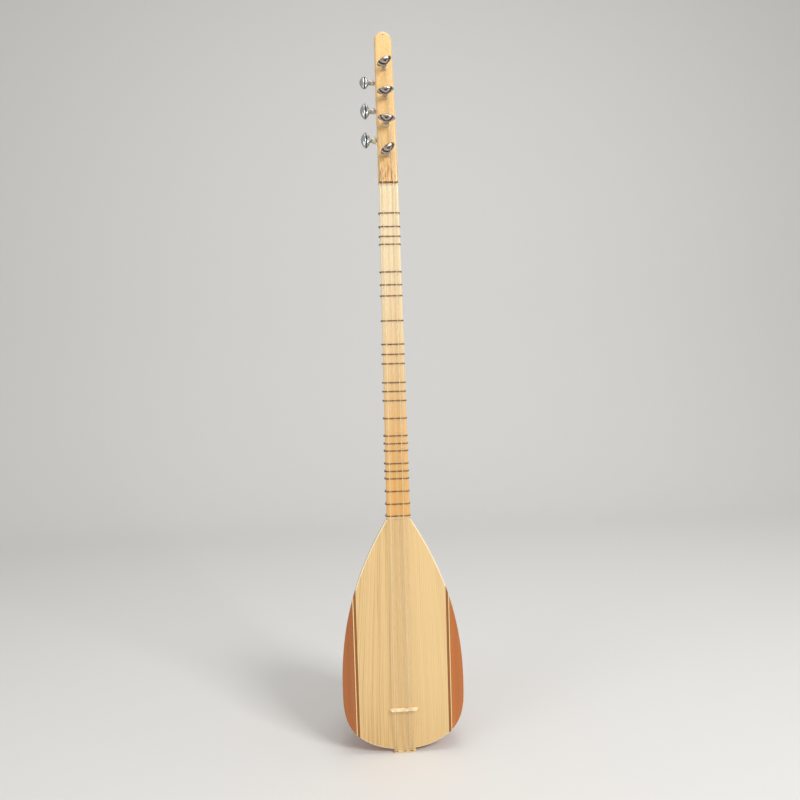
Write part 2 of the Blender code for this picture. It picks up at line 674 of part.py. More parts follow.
def make_holder():
    """The block under the tail that the strings are tied to; its top follows the tail's curve."""
    back = FRONT_Y + HOLDER_DEPTH
    rings = []
    for x in np.linspace(-HOLDER_WIDTH / 2, HOLDER_WIDTH / 2, HOLDER_STEPS + 1):
        behind_rim = (back - RIM_Y) * BODY_WIDTH / 2 / BODY_DEPTH
        front_top = TAIL_Z + tail_distance(abs(x)) - GAP
        back_top = TAIL_Z + tail_distance(math.hypot(x, behind_rim)) - GAP
        top = [(x, back, back_top), (x, RIM_Y, front_top), (x, FRONT_Y, front_top)]
        rings.append([(x, FRONT_Y, 0.0), (x, back, 0.0)] + top)
    holder = make_object("string_holder", loft_mesh("string_holder", rings), PALE_WOOD)
    for index, x in enumerate(STRING_AT_BRIDGE):
        ring = circle(STRING_HOLE_RADIUS, SMALL_HOLE_SIDES) + (x, STRING_HOLE_HEIGHT)
        ends = (FRONT_Y - HOLDER_DEPTH, FRONT_Y + 2 * HOLDER_DEPTH)
        mesh = loft_mesh("string_hole", [[(a, y, b) for a, b in ring] for y in ends])
        boolean(holder, helper(f"string_hole_{index + 1}", mesh), "DIFFERENCE")


# ---------------------------------------------------------------- strings

def tangent_point(start, centre, radius):
    """Where a line from start touches the circle on its right, seen along the line."""
    to_centre = Vector(centre) - Vector(start)
    reach = math.sqrt(to_centre.length_squared - radius**2)
    turn = math.asin(radius / to_centre.length)
    along = Matrix.Rotation(-turn, 2) @ to_centre.normalized()
    return Vector(start) + along * reach


def string_route(index, radius, place):
    """From the holder over the bridge and the nut to the winding on its peg."""
    x_tail = STRING_AT_BRIDGE[index]
    x_nut = STRING_AT_NUT[index]
    hole = STRING_HOLE_HEIGHT
    at_bridge = FRONT_Y - GAP - BRIDGE_HEIGHT - GAP - radius
    at_nut = FRONT_Y - NUT_RISE - GAP - radius
    level = BRIDGE_TOP_THICKNESS / 2 + BRIDGE_TRAVEL + GAP
    route = [
        (x_tail, FRONT_Y + HOLDER_DEPTH * STRING_END_SHARE, hole),
        (x_tail, FRONT_Y - 0.4 * STRING_OFF_BOARD, hole),
        (x_tail, FRONT_Y - STRING_OFF_BOARD, hole + STRING_OFF_BOARD),
        (x_tail, FRONT_Y - STRING_OFF_BOARD, hole + 2 * STRING_OFF_BOARD),
        (x_tail, at_bridge, BRIDGE_Z - level),
        (x_tail, at_bridge, BRIDGE_Z + level),
        (x_nut, at_nut, NUT_Z - NUT_THICKNESS / 2),
        (x_nut, at_nut, NUT_Z + NUT_THICKNESS / 2),
    ]
    return route + head_route(index, radius, place, HEAD_TO_WORLD.inverted() @ Vector(route[-1]))


def head_route(index, radius, place, start):
    """The string's way over the peg head, in world space, ending in the wall of its winding."""
    peg = place.translation
    middle = WINDING_START + WINDING_LENGTH / 2
    if index not in SIDE_STRINGS:
        end = tangent_point((start.x, start.z), (peg.x, peg.z), WINDING_RADIUS)
        return [HEAD_TO_WORLD @ Vector((end.x, -middle, end.y))]
    # A side string bends round the head's rounded left edge, most of the way up to its peg.
    up = start.z + BEND_SHARE * (peg.z - start.z)
    reach = (HEAD_EDGE_RADIUS + radius + 2 * GAP) * BEND_REACH
    bend = Vector((
        HEAD_EDGE_RADIUS - head_size(up)[0] / 2 - reach * math.sin(BEND_ANGLE),
        HEAD_EDGE_RADIUS - reach * math.cos(BEND_ANGLE),
        up,
    ))
    end = tangent_point((-bend.y, bend.z), (-peg.y, peg.z), WINDING_RADIUS)
    return [HEAD_TO_WORLD @ bend, HEAD_TO_WORLD @ Vector((peg.x - middle, -end.x, end.y))]


def winding_mesh():
    inner = circle(WINDING_RADIUS - WINDING_WALL / 2, WINDING_SIDES)
    outer = circle(WINDING_RADIUS + WINDING_WALL / 2, WINDING_SIDES)
    return band_mesh("winding", inner, outer, WINDING_START, WINDING_START + WINDING_LENGTH)


def loose_end(place, radius):
    """The cut end of the last string, which springs out of its winding in a curl."""
    peg = place.translation
    route = (
        (0.0030, -0.0060, 0.0031), (0.0090, -0.0058, 0.0090), (0.0165, -0.0050, 0.0220),
        (0.0208, -0.0045, 0.0320), (0.0233, -0.0042, 0.0420), (0.0232, -0.0040, 0.0520),
        (0.0212, -0.0040, 0.0610),
    )
    points = [HEAD_TO_WORLD @ (peg + Vector(point)) for point in route]
    return helper("loose_end", tube_mesh("loose_end", points, radius))


def make_strings():
    """Each string is one piece with its turns round the shaft, which stay clear of the peg."""
    pegs = {name: place for name, place, _, _ in peg_places()}
    order = ["side_peg_1", "side_peg_2", "side_peg_3"] + [f"front_peg_{i}" for i in (1, 2, 3, 4)]
    for index, name in enumerate(STRING_NAMES):
        wound = index in WOUND_STRINGS
        radius = WOUND_RADIUS if wound else PLAIN_RADIUS
        place = pegs[order[index]]
        mesh = tube_mesh(name, string_route(index, radius, place), radius)
        string = make_object(name, mesh, BRONZE if wound else STEEL)
        boolean(string, helper(f"{name}_winding", winding_mesh(), HEAD_TO_WORLD @ place), "UNION")
        if index == len(STRING_NAMES) - 1:
            boolean(string, loose_end(place, radius), "UNION")


def main():
    clear_scene()
    make_ribs()
    make_end_block()
    make_neck_block()
    make_soundboard()
    make_board_edges()
    make_neck()
    make_nut()
    make_frets()
    frame = bpy.data.objects.new("head_frame", None)
    bpy.context.scene.collection.objects.link(frame)
    frame.location = HEAD_ORIGIN
    frame.rotation_euler = (-HEAD_TILT, 0.0, 0.0)
    make_head(frame)
    make_pegs(frame)
    make_bridge()
    make_holder()
    make_strings()


main()
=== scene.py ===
"""Finished looks of a seven-string long-neck lute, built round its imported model.

Every new piece is a closed skin worked out with numpy in the model's own space, in metres: +Z runs
up the neck, the soundboard faces -Y and +X is to the right of someone facing it.
"""

import json
import math

import bmesh
import bpy
import numpy as np
from bpy.props import FloatProperty, FloatVectorProperty, IntProperty, PointerProperty
from mathutils import Matrix, Vector

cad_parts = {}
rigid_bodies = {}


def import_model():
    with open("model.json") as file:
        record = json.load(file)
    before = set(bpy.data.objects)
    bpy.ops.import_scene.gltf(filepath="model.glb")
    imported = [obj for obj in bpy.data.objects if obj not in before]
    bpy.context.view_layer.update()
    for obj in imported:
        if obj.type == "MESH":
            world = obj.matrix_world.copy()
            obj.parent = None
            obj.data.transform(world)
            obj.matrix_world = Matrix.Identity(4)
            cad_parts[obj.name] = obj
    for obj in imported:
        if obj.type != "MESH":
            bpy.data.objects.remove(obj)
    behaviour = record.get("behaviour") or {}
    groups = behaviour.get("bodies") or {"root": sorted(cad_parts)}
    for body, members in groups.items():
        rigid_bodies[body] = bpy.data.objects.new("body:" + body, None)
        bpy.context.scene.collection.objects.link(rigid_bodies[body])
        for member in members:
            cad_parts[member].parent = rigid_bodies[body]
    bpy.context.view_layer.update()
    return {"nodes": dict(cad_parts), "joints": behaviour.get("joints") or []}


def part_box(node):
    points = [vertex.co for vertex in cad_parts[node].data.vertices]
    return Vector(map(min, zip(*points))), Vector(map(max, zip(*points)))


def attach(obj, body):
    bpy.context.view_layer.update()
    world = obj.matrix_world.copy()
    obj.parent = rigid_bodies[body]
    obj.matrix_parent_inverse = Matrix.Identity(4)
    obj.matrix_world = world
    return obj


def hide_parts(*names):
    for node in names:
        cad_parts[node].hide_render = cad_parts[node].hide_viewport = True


bl_info = {
    "name": "Long-neck lute",
    "version": (1, 0, 0),
    "blender": (4, 5, 0),
    "location": "3D View > Sidebar > Lute",
    "description": "Builds the finished pieces, materials and stage of a long-neck lute",
    "category": "Object",
}

for leftover in list(bpy.data.objects):
    bpy.data.objects.remove(leftover, do_unlink=True)
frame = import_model()
JOINTS = {joint["child"]: joint for joint in frame["joints"]}
LUTE = "lute"

GLUE_GAP = 0.0003          # between neighbouring pieces, and round a peg in its hole
WINDING_GAP = 0.00035      # between a peg's shaft and the string wound on it
SAME_PLACE = 1e-5          # points nearer than this lie on one line or plane


def low(node):
    """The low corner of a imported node's box."""
    return np.array(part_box(node)[0])


def high(node):
    """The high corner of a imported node's box."""
    return np.array(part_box(node)[1])


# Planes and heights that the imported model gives.
FRONT = float(low("soundboard")[1])
BOARD_BACK = float(high("soundboard")[1])
TAIL = float(low("soundboard")[2])
JOINT = float(high("soundboard")[2])
NECK_TOP = float(high("neck")[2])
NUT = float((low("nut")[2] + high("nut")[2]) / 2)
BRIDGE = float((low("bridge")[2] + high("bridge")[2]) / 2)
BODY_LENGTH = JOINT - TAIL
HALF_WIDTH = float(high("soundboard_wing_right")[0])
WING_INNER = float(low("soundboard_wing_right")[0])
BOARD_INNER = float(low("brown_line_right")[0]) - GLUE_GAP
BOWL_BACK = float(high("bowl_rib_4")[1])
RIB_COUNT = sum(node.startswith("bowl_rib_") for node in frame["nodes"])
FRETS = sorted(node for node in frame["nodes"] if node.startswith("fret_"))
FRONT_PEGS = sorted(node for node in frame["nodes"] if node.startswith("front_peg_"))
SIDE_PEGS = sorted(node for node in frame["nodes"] if node.startswith("side_peg_"))

# How far each button's long side is turned about its shaft, in degrees.
PEG_TURNS = dict(zip(FRONT_PEGS + SIDE_PEGS, (36, -4, 12, 32, 0, 0, 18)))

# The strings from the bass to the treble, the pegs that they go to, and where they cross the holder
# and the nut in X.
STRINGS = (
    "string_bass_wound", "string_bass_plain", "string_middle_left", "string_middle_right",
    "string_treble_wound", "string_treble_left", "string_treble_right",
)
STRING_PEGS = SIDE_PEGS + FRONT_PEGS
STRINGS_AT_TAIL = np.array((-0.0160, -0.0134, -0.0015, 0.0012, 0.0086, 0.0112, 0.0138))
STRINGS_AT_NUT = np.array((-0.0095, -0.0073, -0.0011, 0.0011, 0.0079, 0.0101, 0.0123))


def display(red, green, blue):
    """Display values from 0 to 255 as the linear colour that a shader takes."""
    return tuple(np.power(np.array((red, green, blue)) / 255.0, 2.2).tolist())


def size(name, description, default):
    """A setting that is a length in metres."""
    return FloatProperty(
        name=name, description=description, default=default, min=0.0, precision=5,
        unit="LENGTH", subtype="DISTANCE",
    )


def share(name, description, default):
    """A setting that is a plain number."""
    return FloatProperty(name=name, description=description, default=default)


def angle(name, description, degrees):
    """A setting that is an angle."""
    return FloatProperty(
        name=name, description=description, default=math.radians(degrees), unit="ROTATION", subtype="ANGLE"
    )


def colour(name, description, default):
    """A setting that is a colour."""
    return FloatVectorProperty(
        name=name, description=description, default=default, size=3, min=0.0, max=1.0, subtype="COLOR"
    )


# ---------------------------------------------------------------- settings

class LuteBodySettings(bpy.types.PropertyGroup):
    """Sizes of the bowl, the soundboard, the bridge and the string holder."""

    gap: size("Gap", "Glue gap between neighbouring pieces", GLUE_GAP)
    widest: size("Widest place", "Distance of the widest place from the tail", 0.110)
    tail_power: share("Tail bluntness", "Power of the tail's blunt oval", 3.15)
    neck_power: share("Neck closing", "Power of the curve that closes towards the neck", 2.17)
    shoulder_half: size("Shoulder half width", "Half width of the body where the neck starts", 0.0205)
    shoulder_depth: size("Shoulder depth", "Depth of the bowl where the neck starts", 0.0284)
    shell: size("Rib thickness", "Thickness of the bowl's ribs", 0.003)
    cap_half: size("Cap half width", "Half width of the tail cap that the ribs run into", 0.0263)
    board_edge: size("Board edge radius", "Rounding of the soundboard's outer edge", 0.0016)
    # Painted shade: the left wing's colour is darkened beside the right one's, as the light falls from the
    # right.
    left_wing_painted_shade: share("Left wing shade", "Brightness of the left wing's wood beside the right one's", 0.72)
    bridge_notch: size("Bridge notch depth", "Depth of the string notches in the bridge", 0.0005)
    bridge_top_half: size("Bridge top half length", "Half length of the bridge's top edge", 0.0208)


class LuteNeckSettings(bpy.types.PropertyGroup):
    """Sizes of the neck, the nut, the tied frets and the peg head."""

    width_nut: size("Width at the nut", "Width of the neck at the nut", 0.0310)
    width_body: size("Width at the body", "Width of the neck where it meets the body", 0.0392)
    depth_nut: size("Depth at the nut", "Depth of the neck at the nut", 0.024)
    depth_body: size("Depth at the body", "Depth of the neck where it meets the body", 0.031)
    edge: size("Edge radius", "Rounding of the fingerboard's edges", 0.0025)
    back_share: share("Round back", "Share of the neck's depth that its round back takes", 0.62)
    strand: size("Fret strand radius", "Radius of the nylon tied round the neck", 0.00048)
    turns: IntProperty(name="Fret turns", description="Turns of nylon in each fret", default=2, min=1)
    knot: size("Knot size", "Half length of the knot in each fret", 0.0014)
    knot_back: size("Knot place", "How far behind the fingerboard's edge the knots sit", 0.0022)
    tilt: angle("Head tilt", "How far the peg head leans back", 12.0)
    head_length: size("Head length", "Length of the peg head", 0.266)
    head_base: size("Head base width", "Width of the peg head at the nut", 0.0325)
    head_top: size("Head top width", "Width of the peg head at its top", 0.0290)
    head_depth_base: size("Head base depth", "Depth of the peg head at the nut", 0.027)
    head_depth_top: size("Head top depth", "Depth of the peg head at its top", 0.023)
    head_edge: size("Head edge radius", "Rounding of the peg head's edges", 0.004)
    head_round: size("Head top rounding", "Length of the head's rounded top", 0.013)
    hang_radius: size("Hanging hole radius", "Radius of the hole near the head's top", 0.0011)
    hang_down: size("Hanging hole place", "Distance of that hole from the head's top", 0.0048)


class LutePegSettings(bpy.types.PropertyGroup):
    """Sizes of the carved tuning pegs."""

    shaft: size("Shaft radius", "Radius of the peg where it enters the wood", 0.0034)
    tip: size("Tip radius", "Radius of the peg's far tip", 0.0027)
    tip_length: size("Tip length", "How far a front peg's tip stands out behind the head", 0.003)
    free: size("Free shaft", "Bare shaft between the wood and the collar", 0.0088)
    collar: size("Collar radius", "Radius of the turned collar", 0.0046)
    half_length: size("Button half length", "Half of the button's long side", 0.0146)
    half_thick: size("Button half thickness", "Half of the button's short side", 0.0060)
    height: size("Button height", "From the collar to the crown", 0.0156)
    flutes: share("Flutes", "Carved V-shaped flutes from the collar to the crown", 2.3)
    flute_depth: share("Flute depth", "Depth of the flutes as a share of the thickness", 0.34)
    flute_slope: share("Flute slope", "How steeply each flute climbs from the middle to the rim", 0.55)
    side_flutes: share("Side peg flutes", "Carved flutes of the side pegs", 2.6)
    side_slope: share("Side flute slope", "How steeply the side pegs' flutes climb", 0.12)
    side_reach: share("Side flute reach", "Share of a side peg's height that is fluted", 0.58)


class LuteStringSettings(bpy.types.PropertyGroup):
    """Sizes of the strings."""

    wound: size("Wound radius", "Radius of the wound strings", 0.00048)
    plain: size("Plain radius", "Radius of the plain strings", 0.00027)
    bend: size("Bend radius", "Length that a bend takes from each side of a corner", 0.0016)
    turns: share("Winding turns", "Turns of string round each peg", 11.3)
    winding_low: size("Winding place", "Distance from the wood to the start of each winding", 0.0014)
    winding_span: size("Winding length", "Length of each winding along its peg", 0.0064)


class LuteColours(bpy.types.PropertyGroup):
    """Colours of the woods, the nylon and the metals."""

    board_light: colour("Soundboard", "Pale wood between the grain lines", display(236, 203, 144))
    board_dark: colour("Soundboard grain", "Grain lines and streaks", display(184, 130, 68))
    wing_light: colour("Wing", "Red-brown wood of the wings", display(202, 118, 54))
    wing_dark: colour("Wing grain", "Pores and bands of the wings", display(150, 80, 38))
    neck_pale: colour("Neck at the nut", "Pale end of the neck", display(250, 230, 188))
    neck_deep: colour("Neck at the body", "Deeper end of the neck", display(238, 180, 98))
    head_light: colour("Head", "Yellow-orange wood of the peg head", display(241, 200, 136))
    head_dark: colour("Head grain", "Brown streaks of the peg head", display(176, 112, 52))
    dark_wood: colour("Dark wood", "Nut and brown inlay", display(152, 90, 28))
    inlay: colour("Light inlay", "Thin light lines along the wings", display(252, 214, 154))
    pale_wood: colour("Pale wood", "Bridge and board edging", display(255, 242, 200))
    nylon: colour("Frets", "Amber nylon", display(128, 88, 48))
    peg: colour("Front pegs", "Dark polished pegs", display(128, 118, 110))
    # Painted reflection: the side pegs are the same dark polished pegs as the front ones, and this paler,
    # greyer colour stands in for the light they reflect.
    side_peg: colour("Side pegs", "Silvery polished pegs", display(132, 135, 134))
    # Painted sheen: both string colours are the metals' tints made paler, to stand in for the light that the
    # strings reflect.
    steel: colour("Plain strings", "Bright steel", display(224, 200, 174))
    bronze: colour("Wound strings", "Bronze winding", display(255, 242, 204))
    floor: colour("Floor", "Plain pale floor", display(226, 224, 220))


class LuteStageSettings(bpy.types.PropertyGroup):
    """Camera and lights."""

    left: share("Camera sideways", "Camera's place along X, in metres", -0.0549)
    ahead: size("Camera ahead", "Camera's distance in front of the origin", 1.1319)
    height: size("Camera height", "Camera's height above the floor", 0.6782)
    turn: angle("Camera turn", "Turn towards the right", 3.218)
    dip: angle("Camera dip", "Dip below the horizon", 3.705)
    roll: angle("Camera roll", "Turn about the line of sight", -1.672)
    lens: FloatProperty(name="Lens", description="Focal length in millimetres", default=30.67)


# ---------------------------------------------------------------- skins

class Skin:
    """One closed skin: points, four-sided faces, three-sided faces, and texture places per corner."""

    carving = None    # how deeply each point is cut, on pieces that are carved

    def __init__(self, points, quads, triangles, quad_places, triangle_places):
        self.points = points
        self.quads = quads
        self.triangles = triangles
        self.quad_places = quad_places
        self.triangle_places = triangle_places

    def __add__(self, other):
        """Both skins in one."""
        start = len(self.points)
        return Skin(
            np.vstack((self.points, other.points)),
            np.vstack((self.quads, other.quads + start)),
            np.vstack((self.triangles, other.triangles + start)),
            np.vstack((self.quad_places, other.quad_places)),
            np.vstack((self.triangle_places, other.triangle_places)),
        )

    def moved(self, matrix):
        """The skin turned and shifted by a matrix."""
        turn = np.array(matrix.to_3x3())
        return Skin(
            self.points @ turn.T + np.array(matrix.translation),
            self.quads, self.triangles, self.quad_places, self.triangle_places,
        )

    def mesh(self, name):
        """The skin as a mesh whose faces point outwards."""
        corners = np.concatenate((self.quads.ravel(), self.triangles.ravel()))
        fours, threes = len(self.quads), len(self.triangles)
        starts = np.concatenate((np.arange(fours) * 4, fours * 4 + np.arange(threes) * 3))
        mesh = bpy.data.meshes.new(name)
        mesh.vertices.add(len(self.points))
        mesh.vertices.foreach_set("co", self.points.astype(np.float32).ravel())
        mesh.loops.add(len(corners))
        mesh.loops.foreach_set("vertex_index", corners.astype(np.int32))
        mesh.polygons.add(fours + threes)
        mesh.polygons.foreach_set("loop_start", starts.astype(np.int32))
        mesh.update(calc_edges=True)
        places = np.concatenate((self.quad_places.ravel(), self.triangle_places.ravel()))
        mesh.uv_layers.new(name="surface").uv.foreach_set("vector", places.astype(np.float32))
        if self.carving is not None:
            depths = mesh.attributes.new("carving", "FLOAT", "POINT")
            depths.data.foreach_set("value", self.carving.astype(np.float32))
        face_outwards(mesh)
        return mesh


def face_outwards(mesh):
    """Turns every face of a closed mesh outwards."""
    shape = bmesh.new()
    shape.from_mesh(mesh)
    bmesh.ops.recalc_face_normals(shape, faces=shape.faces)
    shape.to_mesh(mesh)
    shape.free()


def part_way(start, end, share_of_way):
    """The value at a share of the way from start to end."""
    return start + (end - start) * share_of_way


def full_turn(count):
    """Angles at even steps round a full turn."""
    return np.arange(count) * 2 * math.pi / count


def level_ring(x, y, height):
    """A ring of points at one height."""
    return np.column_stack((x, y, np.full(len(x), height)))


def loft(rings):
    """A skin through rings (rows, columns, 3): each point joins its neighbours round its own ring and
    in the next one, and the two end rings are closed by fans about their centres."""
    rings = np.asarray(rings, float)
    rows, columns = rings.shape[:2]
    index = np.arange(rows * columns).reshape(rows, columns)
    ahead = np.roll(index, -1, axis=1)
    quads = np.stack((index[:-1], ahead[:-1], ahead[1:], index[1:]), axis=-1).reshape(-1, 4)
    centres = rings.mean(axis=1)
    along = np.concatenate(([0.0], np.cumsum(np.linalg.norm(np.diff(centres, axis=0), axis=1))))
    left = np.broadcast_to(np.arange(columns) / columns, (rows - 1, columns))
    right = left + 1 / columns
    start = np.broadcast_to(along[:-1, None], left.shape)
    end = np.broadcast_to(along[1:, None], left.shape)
    corners = ((left, start), (right, start), (right, end), (left, end))
    quad_places = np.stack([np.stack(corner, axis=-1) for corner in corners], axis=2).reshape(-1, 4, 2)
    points = np.vstack((rings.reshape(-1, 3), centres[:1], centres[-1:]))
    first, last = rows * columns, rows * columns + 1
    fans = np.vstack((
        np.column_stack((ahead[0], index[0], np.full(columns, first))),
        np.column_stack((index[-1], ahead[-1], np.full(columns, last))),
    ))
    edge = np.concatenate((np.zeros(columns), np.full(columns, along[-1])))
    turn = np.tile(np.arange(columns) / columns, 2)
    triangle_places = np.repeat(np.column_stack((turn, edge))[:, None, :], 3, axis=1)
    return Skin(points, quads, fans, quad_places.reshape(-1, 2), triangle_places.reshape(-1, 2))


def ring_loop(rings):
    """As loft, but the last ring joins the first, so the skin is a closed loop with no ends."""
    rings = np.asarray(rings, float)
    rows, columns = rings.shape[:2]
    index = np.arange(rows * columns).reshape(rows, columns)
    quads = np.stack((
        index, np.roll(index, -1, axis=1), np.roll(np.roll(index, -1, axis=1), -1, axis=0),
        np.roll(index, -1, axis=0),
    ), axis=-1).reshape(-1, 4)
    down, across = np.divmod(np.arange(rows * columns), columns)
    corners = [
        np.column_stack(((across + x) / columns, (down + y) / rows))
        for x, y in ((0, 0), (1, 0), (1, 1), (0, 1))
    ]
    return Skin(
        rings.reshape(-1, 3), quads, np.zeros((0, 3), int),
        np.stack(corners, axis=1).reshape(-1, 2), np.zeros((0, 2)),
    )


def tube_rings(path, radius, sides, reference, closed=False):
    """Circles of the given radius round each point of a path, square to its direction. The first
    spoke lies along direction x reference, the second along direction x first."""
    path = np.asarray(path, float)
    if closed:
        direction = np.roll(path, -1, axis=0) - np.roll(path, 1, axis=0)
    else:
        direction = np.gradient(path, axis=0)
    direction /= np.linalg.norm(direction, axis=1)[:, None]
    first = np.cross(direction, np.asarray(reference, float))
    first /= np.linalg.norm(first, axis=1)[:, None]
    second = np.cross(direction, first)
    turn = full_turn(sides)
    radius = np.broadcast_to(radius, len(path))[:, None, None]
    spokes = np.cos(turn)[:, None] * first[:, None] + np.sin(turn)[:, None] * second[:, None]
    return path[:, None] + radius * spokes


def rounded(points, reach, steps=5):
    """A row of points with each corner replaced by a curve: (1-t)^2 before + 2t(1-t) corner + t^2 after,
    between the places that lie reach along the corner's two sides, or 45% of a shorter side."""
    longest = 0.45
    points = [np.asarray(point, float) for point in points]
    t = np.linspace(0, 1, steps)[:, None]
    pieces = [points[:1]]
    for before, corner, after in zip(points, points[1:], points[2:]):
        back, on = before - corner, after - corner
        start = corner + back * min(longest, reach / np.linalg.norm(back))
        end = corner + on * min(longest, reach / np.linalg.norm(on))
        pieces.append((1 - t) ** 2 * start + 2 * t * (1 - t) * corner + t**2 * end)
    pieces.append(points[-1:])
    return np.vstack(pieces)


def plate(outline, straight, name):
    """A flat plate: an outline in X and Z at the board's two depths, joined by a wall. Its front edge is
    marked for rounding, except where it runs straight at the given distance from the middle or meets
    the neck."""
    count = len(outline)
    x, z = outline.T
    points = np.vstack([np.column_stack((x, np.full(count, depth), z)) for depth in (FRONT, BOARD_BACK)])
    near = np.arange(count)
    ahead = np.roll(near, -1)
    walls = np.column_stack((near, ahead, ahead + count, near + count)).tolist()
    mesh = bpy.data.meshes.new(name)
    mesh.from_pydata(points.tolist(), [], [near.tolist(), (near[::-1] + count).tolist(), *walls])
    face_outwards(mesh)
    ends = np.empty(len(mesh.edges) * 2, np.int32)
    mesh.edges.foreach_get("vertices", ends)
    places = np.empty(len(mesh.vertices) * 3)
    mesh.vertices.foreach_get("co", places)
    places = places.reshape(-1, 3)[ends.reshape(-1, 2)]
    in_front = (np.abs(places[..., 1] - FRONT) < SAME_PLACE).all(axis=1)
    on_line = (np.abs(np.abs(places[..., 0]) - straight) < SAME_PLACE).all(axis=1)
    on_line |= (places[..., 2] > JOINT - SAME_PLACE).all(axis=1)
    weights = mesh.attributes.new("bevel_weight_edge", "FLOAT", "EDGE")
    weights.data.foreach_set("value", (in_front & ~on_line).astype(np.float32))
    return mesh


def piece(name, mesh, material, node, crease):
    """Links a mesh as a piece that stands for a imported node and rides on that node's body. Faces that
    meet at more than the crease, in degrees, keep a sharp edge."""
    obj = bpy.data.objects.new(name, mesh)
    bpy.context.scene.collection.objects.link(obj)
    mesh.materials.append(material)
    mesh.shade_smooth()
    mesh.set_sharp_from_angle(angle=math.radians(crease))
    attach(obj, node if node in JOINTS else LUTE)
    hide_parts(node)
    return obj


def dress(node, material):
    """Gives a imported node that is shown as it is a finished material."""
    for slot in frame["nodes"][node].material_slots:
        slot.material = material


def bevelled(obj, width, edging):
    """Rounds the marked edges, and gives the rounding its own material."""
    obj.data.materials.append(edging)
    modifier = obj.modifiers.new("rounded edges", "BEVEL")
    modifier.width = width
    modifier.segments = 3
    modifier.limit_method = "WEIGHT"
    modifier.material = 1


def cut(obj, cutters):
    """Takes closed cutters out of a piece and keeps the result as its mesh."""
    for mesh in cutters:
        tool = bpy.data.objects.new("cutter", mesh)
        bpy.context.scene.collection.objects.link(tool)
        modifier = obj.modifiers.new("hole", "BOOLEAN")
        modifier.operation = "DIFFERENCE"
        modifier.solver = "EXACT"
        modifier.object = tool
        graph = bpy.context.evaluated_depsgraph_get()
        result = bpy.data.meshes.new_from_object(obj.evaluated_get(graph))
        obj.modifiers.remove(modifier)
        obj.data = result
        bpy.data.objects.remove(tool, do_unlink=True)


# ---------------------------------------------------------------- shader maths

class Value:
    """A shader value. Arithmetic on it adds Math nodes to its material."""

    def __init__(self, paint, socket):
        self.paint = paint
        self.socket = socket

    def math(self, operation, *others):
        """A Math node on this value and the others."""
        sockets = dict(enumerate((self, *others)))
        return self.paint.node("ShaderNodeMath", {"operation": operation}, sockets)

    def __add__(self, other):
        return self.math("ADD", other)

    def __sub__(self, other):
        return self.math("SUBTRACT", other)

    def __mul__(self, other):
        return self.math("MULTIPLY", other)

    def __truediv__(self, other):
        return self.math("DIVIDE", other)

    __radd__ = __add__
    __rmul__ = __mul__

    def __rsub__(self, other):
        return self.paint.node("ShaderNodeMath", {"operation": "SUBTRACT"}, {0: other, 1: self})

    def clamped(self):
        """Held between 0 and 1."""
        return self.paint.node("ShaderNodeClamp", {}, {"Value": self})

    def between(self, start, end):
        """0 below start and 1 above end, with a smooth step from one to the other."""
        settings = {"interpolation_type": "SMOOTHSTEP"}
        return self.paint.node("ShaderNodeMapRange", settings, {"Value": self, 1: start, 2: end})


class Paint:
    """A material under construction."""

    def __init__(self, name, **fixed):
        self.material = bpy.data.materials.new(name)
        self.material.use_nodes = True
        self.tree = self.material.node_tree
        self.shader = self.tree.nodes["Principled BSDF"]
        for socket, value in fixed.items():
            self.shader.inputs[socket.replace("_", " ")].default_value = value

    def node(self, kind, settings, inputs, output=0):
        """Adds a node: its settings first, then the values or links of its sockets."""
        node = self.tree.nodes.new(kind)
        for key, value in settings.items():
            setattr(node, key, value)
        for key, value in inputs.items():
            self.feed(node.inputs[key], value)
        return Value(self, node.outputs[output])

    def feed(self, socket, value):
        """Links a value to a socket, or gives the socket a fixed number or colour."""
        if isinstance(value, Value):
            self.tree.links.new(value.socket, socket)
        else:
            socket.default_value = value

    def place(self):
        """Object coordinates, in metres."""
        return self.node("ShaderNodeTexCoord", {}, {}, "Object")

    def surface(self):
        """Turn round the piece and distance along it."""
        places = self.node("ShaderNodeUVMap", {"uv_map": "surface"}, {})
        return [self.node("ShaderNodeSeparateXYZ", {}, {0: places}, axis) for axis in (0, 1)]

    def axes(self):
        """Place along X, Y and Z."""
        place = self.place()
        return [self.node("ShaderNodeSeparateXYZ", {}, {0: place}, axis) for axis in range(3)]

    def noise(self, vector, detail=2.0, distortion=0.0, roughness=0.5):
        """Cloudy noise at a vector, about 0.5."""
        sockets = {
            "Vector": vector, "Scale": 1.0, "Detail": detail, "Roughness": roughness,
            "Distortion": distortion,
        }
        return self.node("ShaderNodeTexNoise", {}, sockets, "Fac")

    def grain(self, scale, seed, detail=2.0, distortion=0.0):
        """Noise with a scale for each axis, in a part of space that the seed picks."""
        offset = (seed * 1.37, seed * 2.11, seed * 0.73)
        sockets = {"Vector": self.place(), "Scale": scale, "Location": offset}
        return self.noise(self.node("ShaderNodeMapping", {}, sockets), detail, distortion)

    def blend(self, factor, first, second):
        """Mixes two colours."""
        tints = [tint if isinstance(tint, Value) else (*tint, 1.0) for tint in (first, second)]
        sockets = {0: factor, 6: tints[0], 7: tints[1]}
        return self.node("ShaderNodeMix", {"data_type": "RGBA"}, sockets, 2)

    def bump(self, height, distance):
        """Raises the surface by a height, of which 1 stands for a distance in metres."""
        normal = self.node("ShaderNodeBump", {}, {"Distance": distance, "Height": height})
        self.feed(self.shader.inputs["Normal"], normal)

    def finish(self, base, roughness):
        """Feeds the colour and the roughness, and gives the material."""
        self.feed(self.shader.inputs["Base Color"], base)
        self.feed(self.shader.inputs["Roughness"], roughness)
        return self.material


def scaled(tint, factor):
    """A colour made lighter or darker."""
    return tuple(min(1.0, channel * factor) for channel in tint)


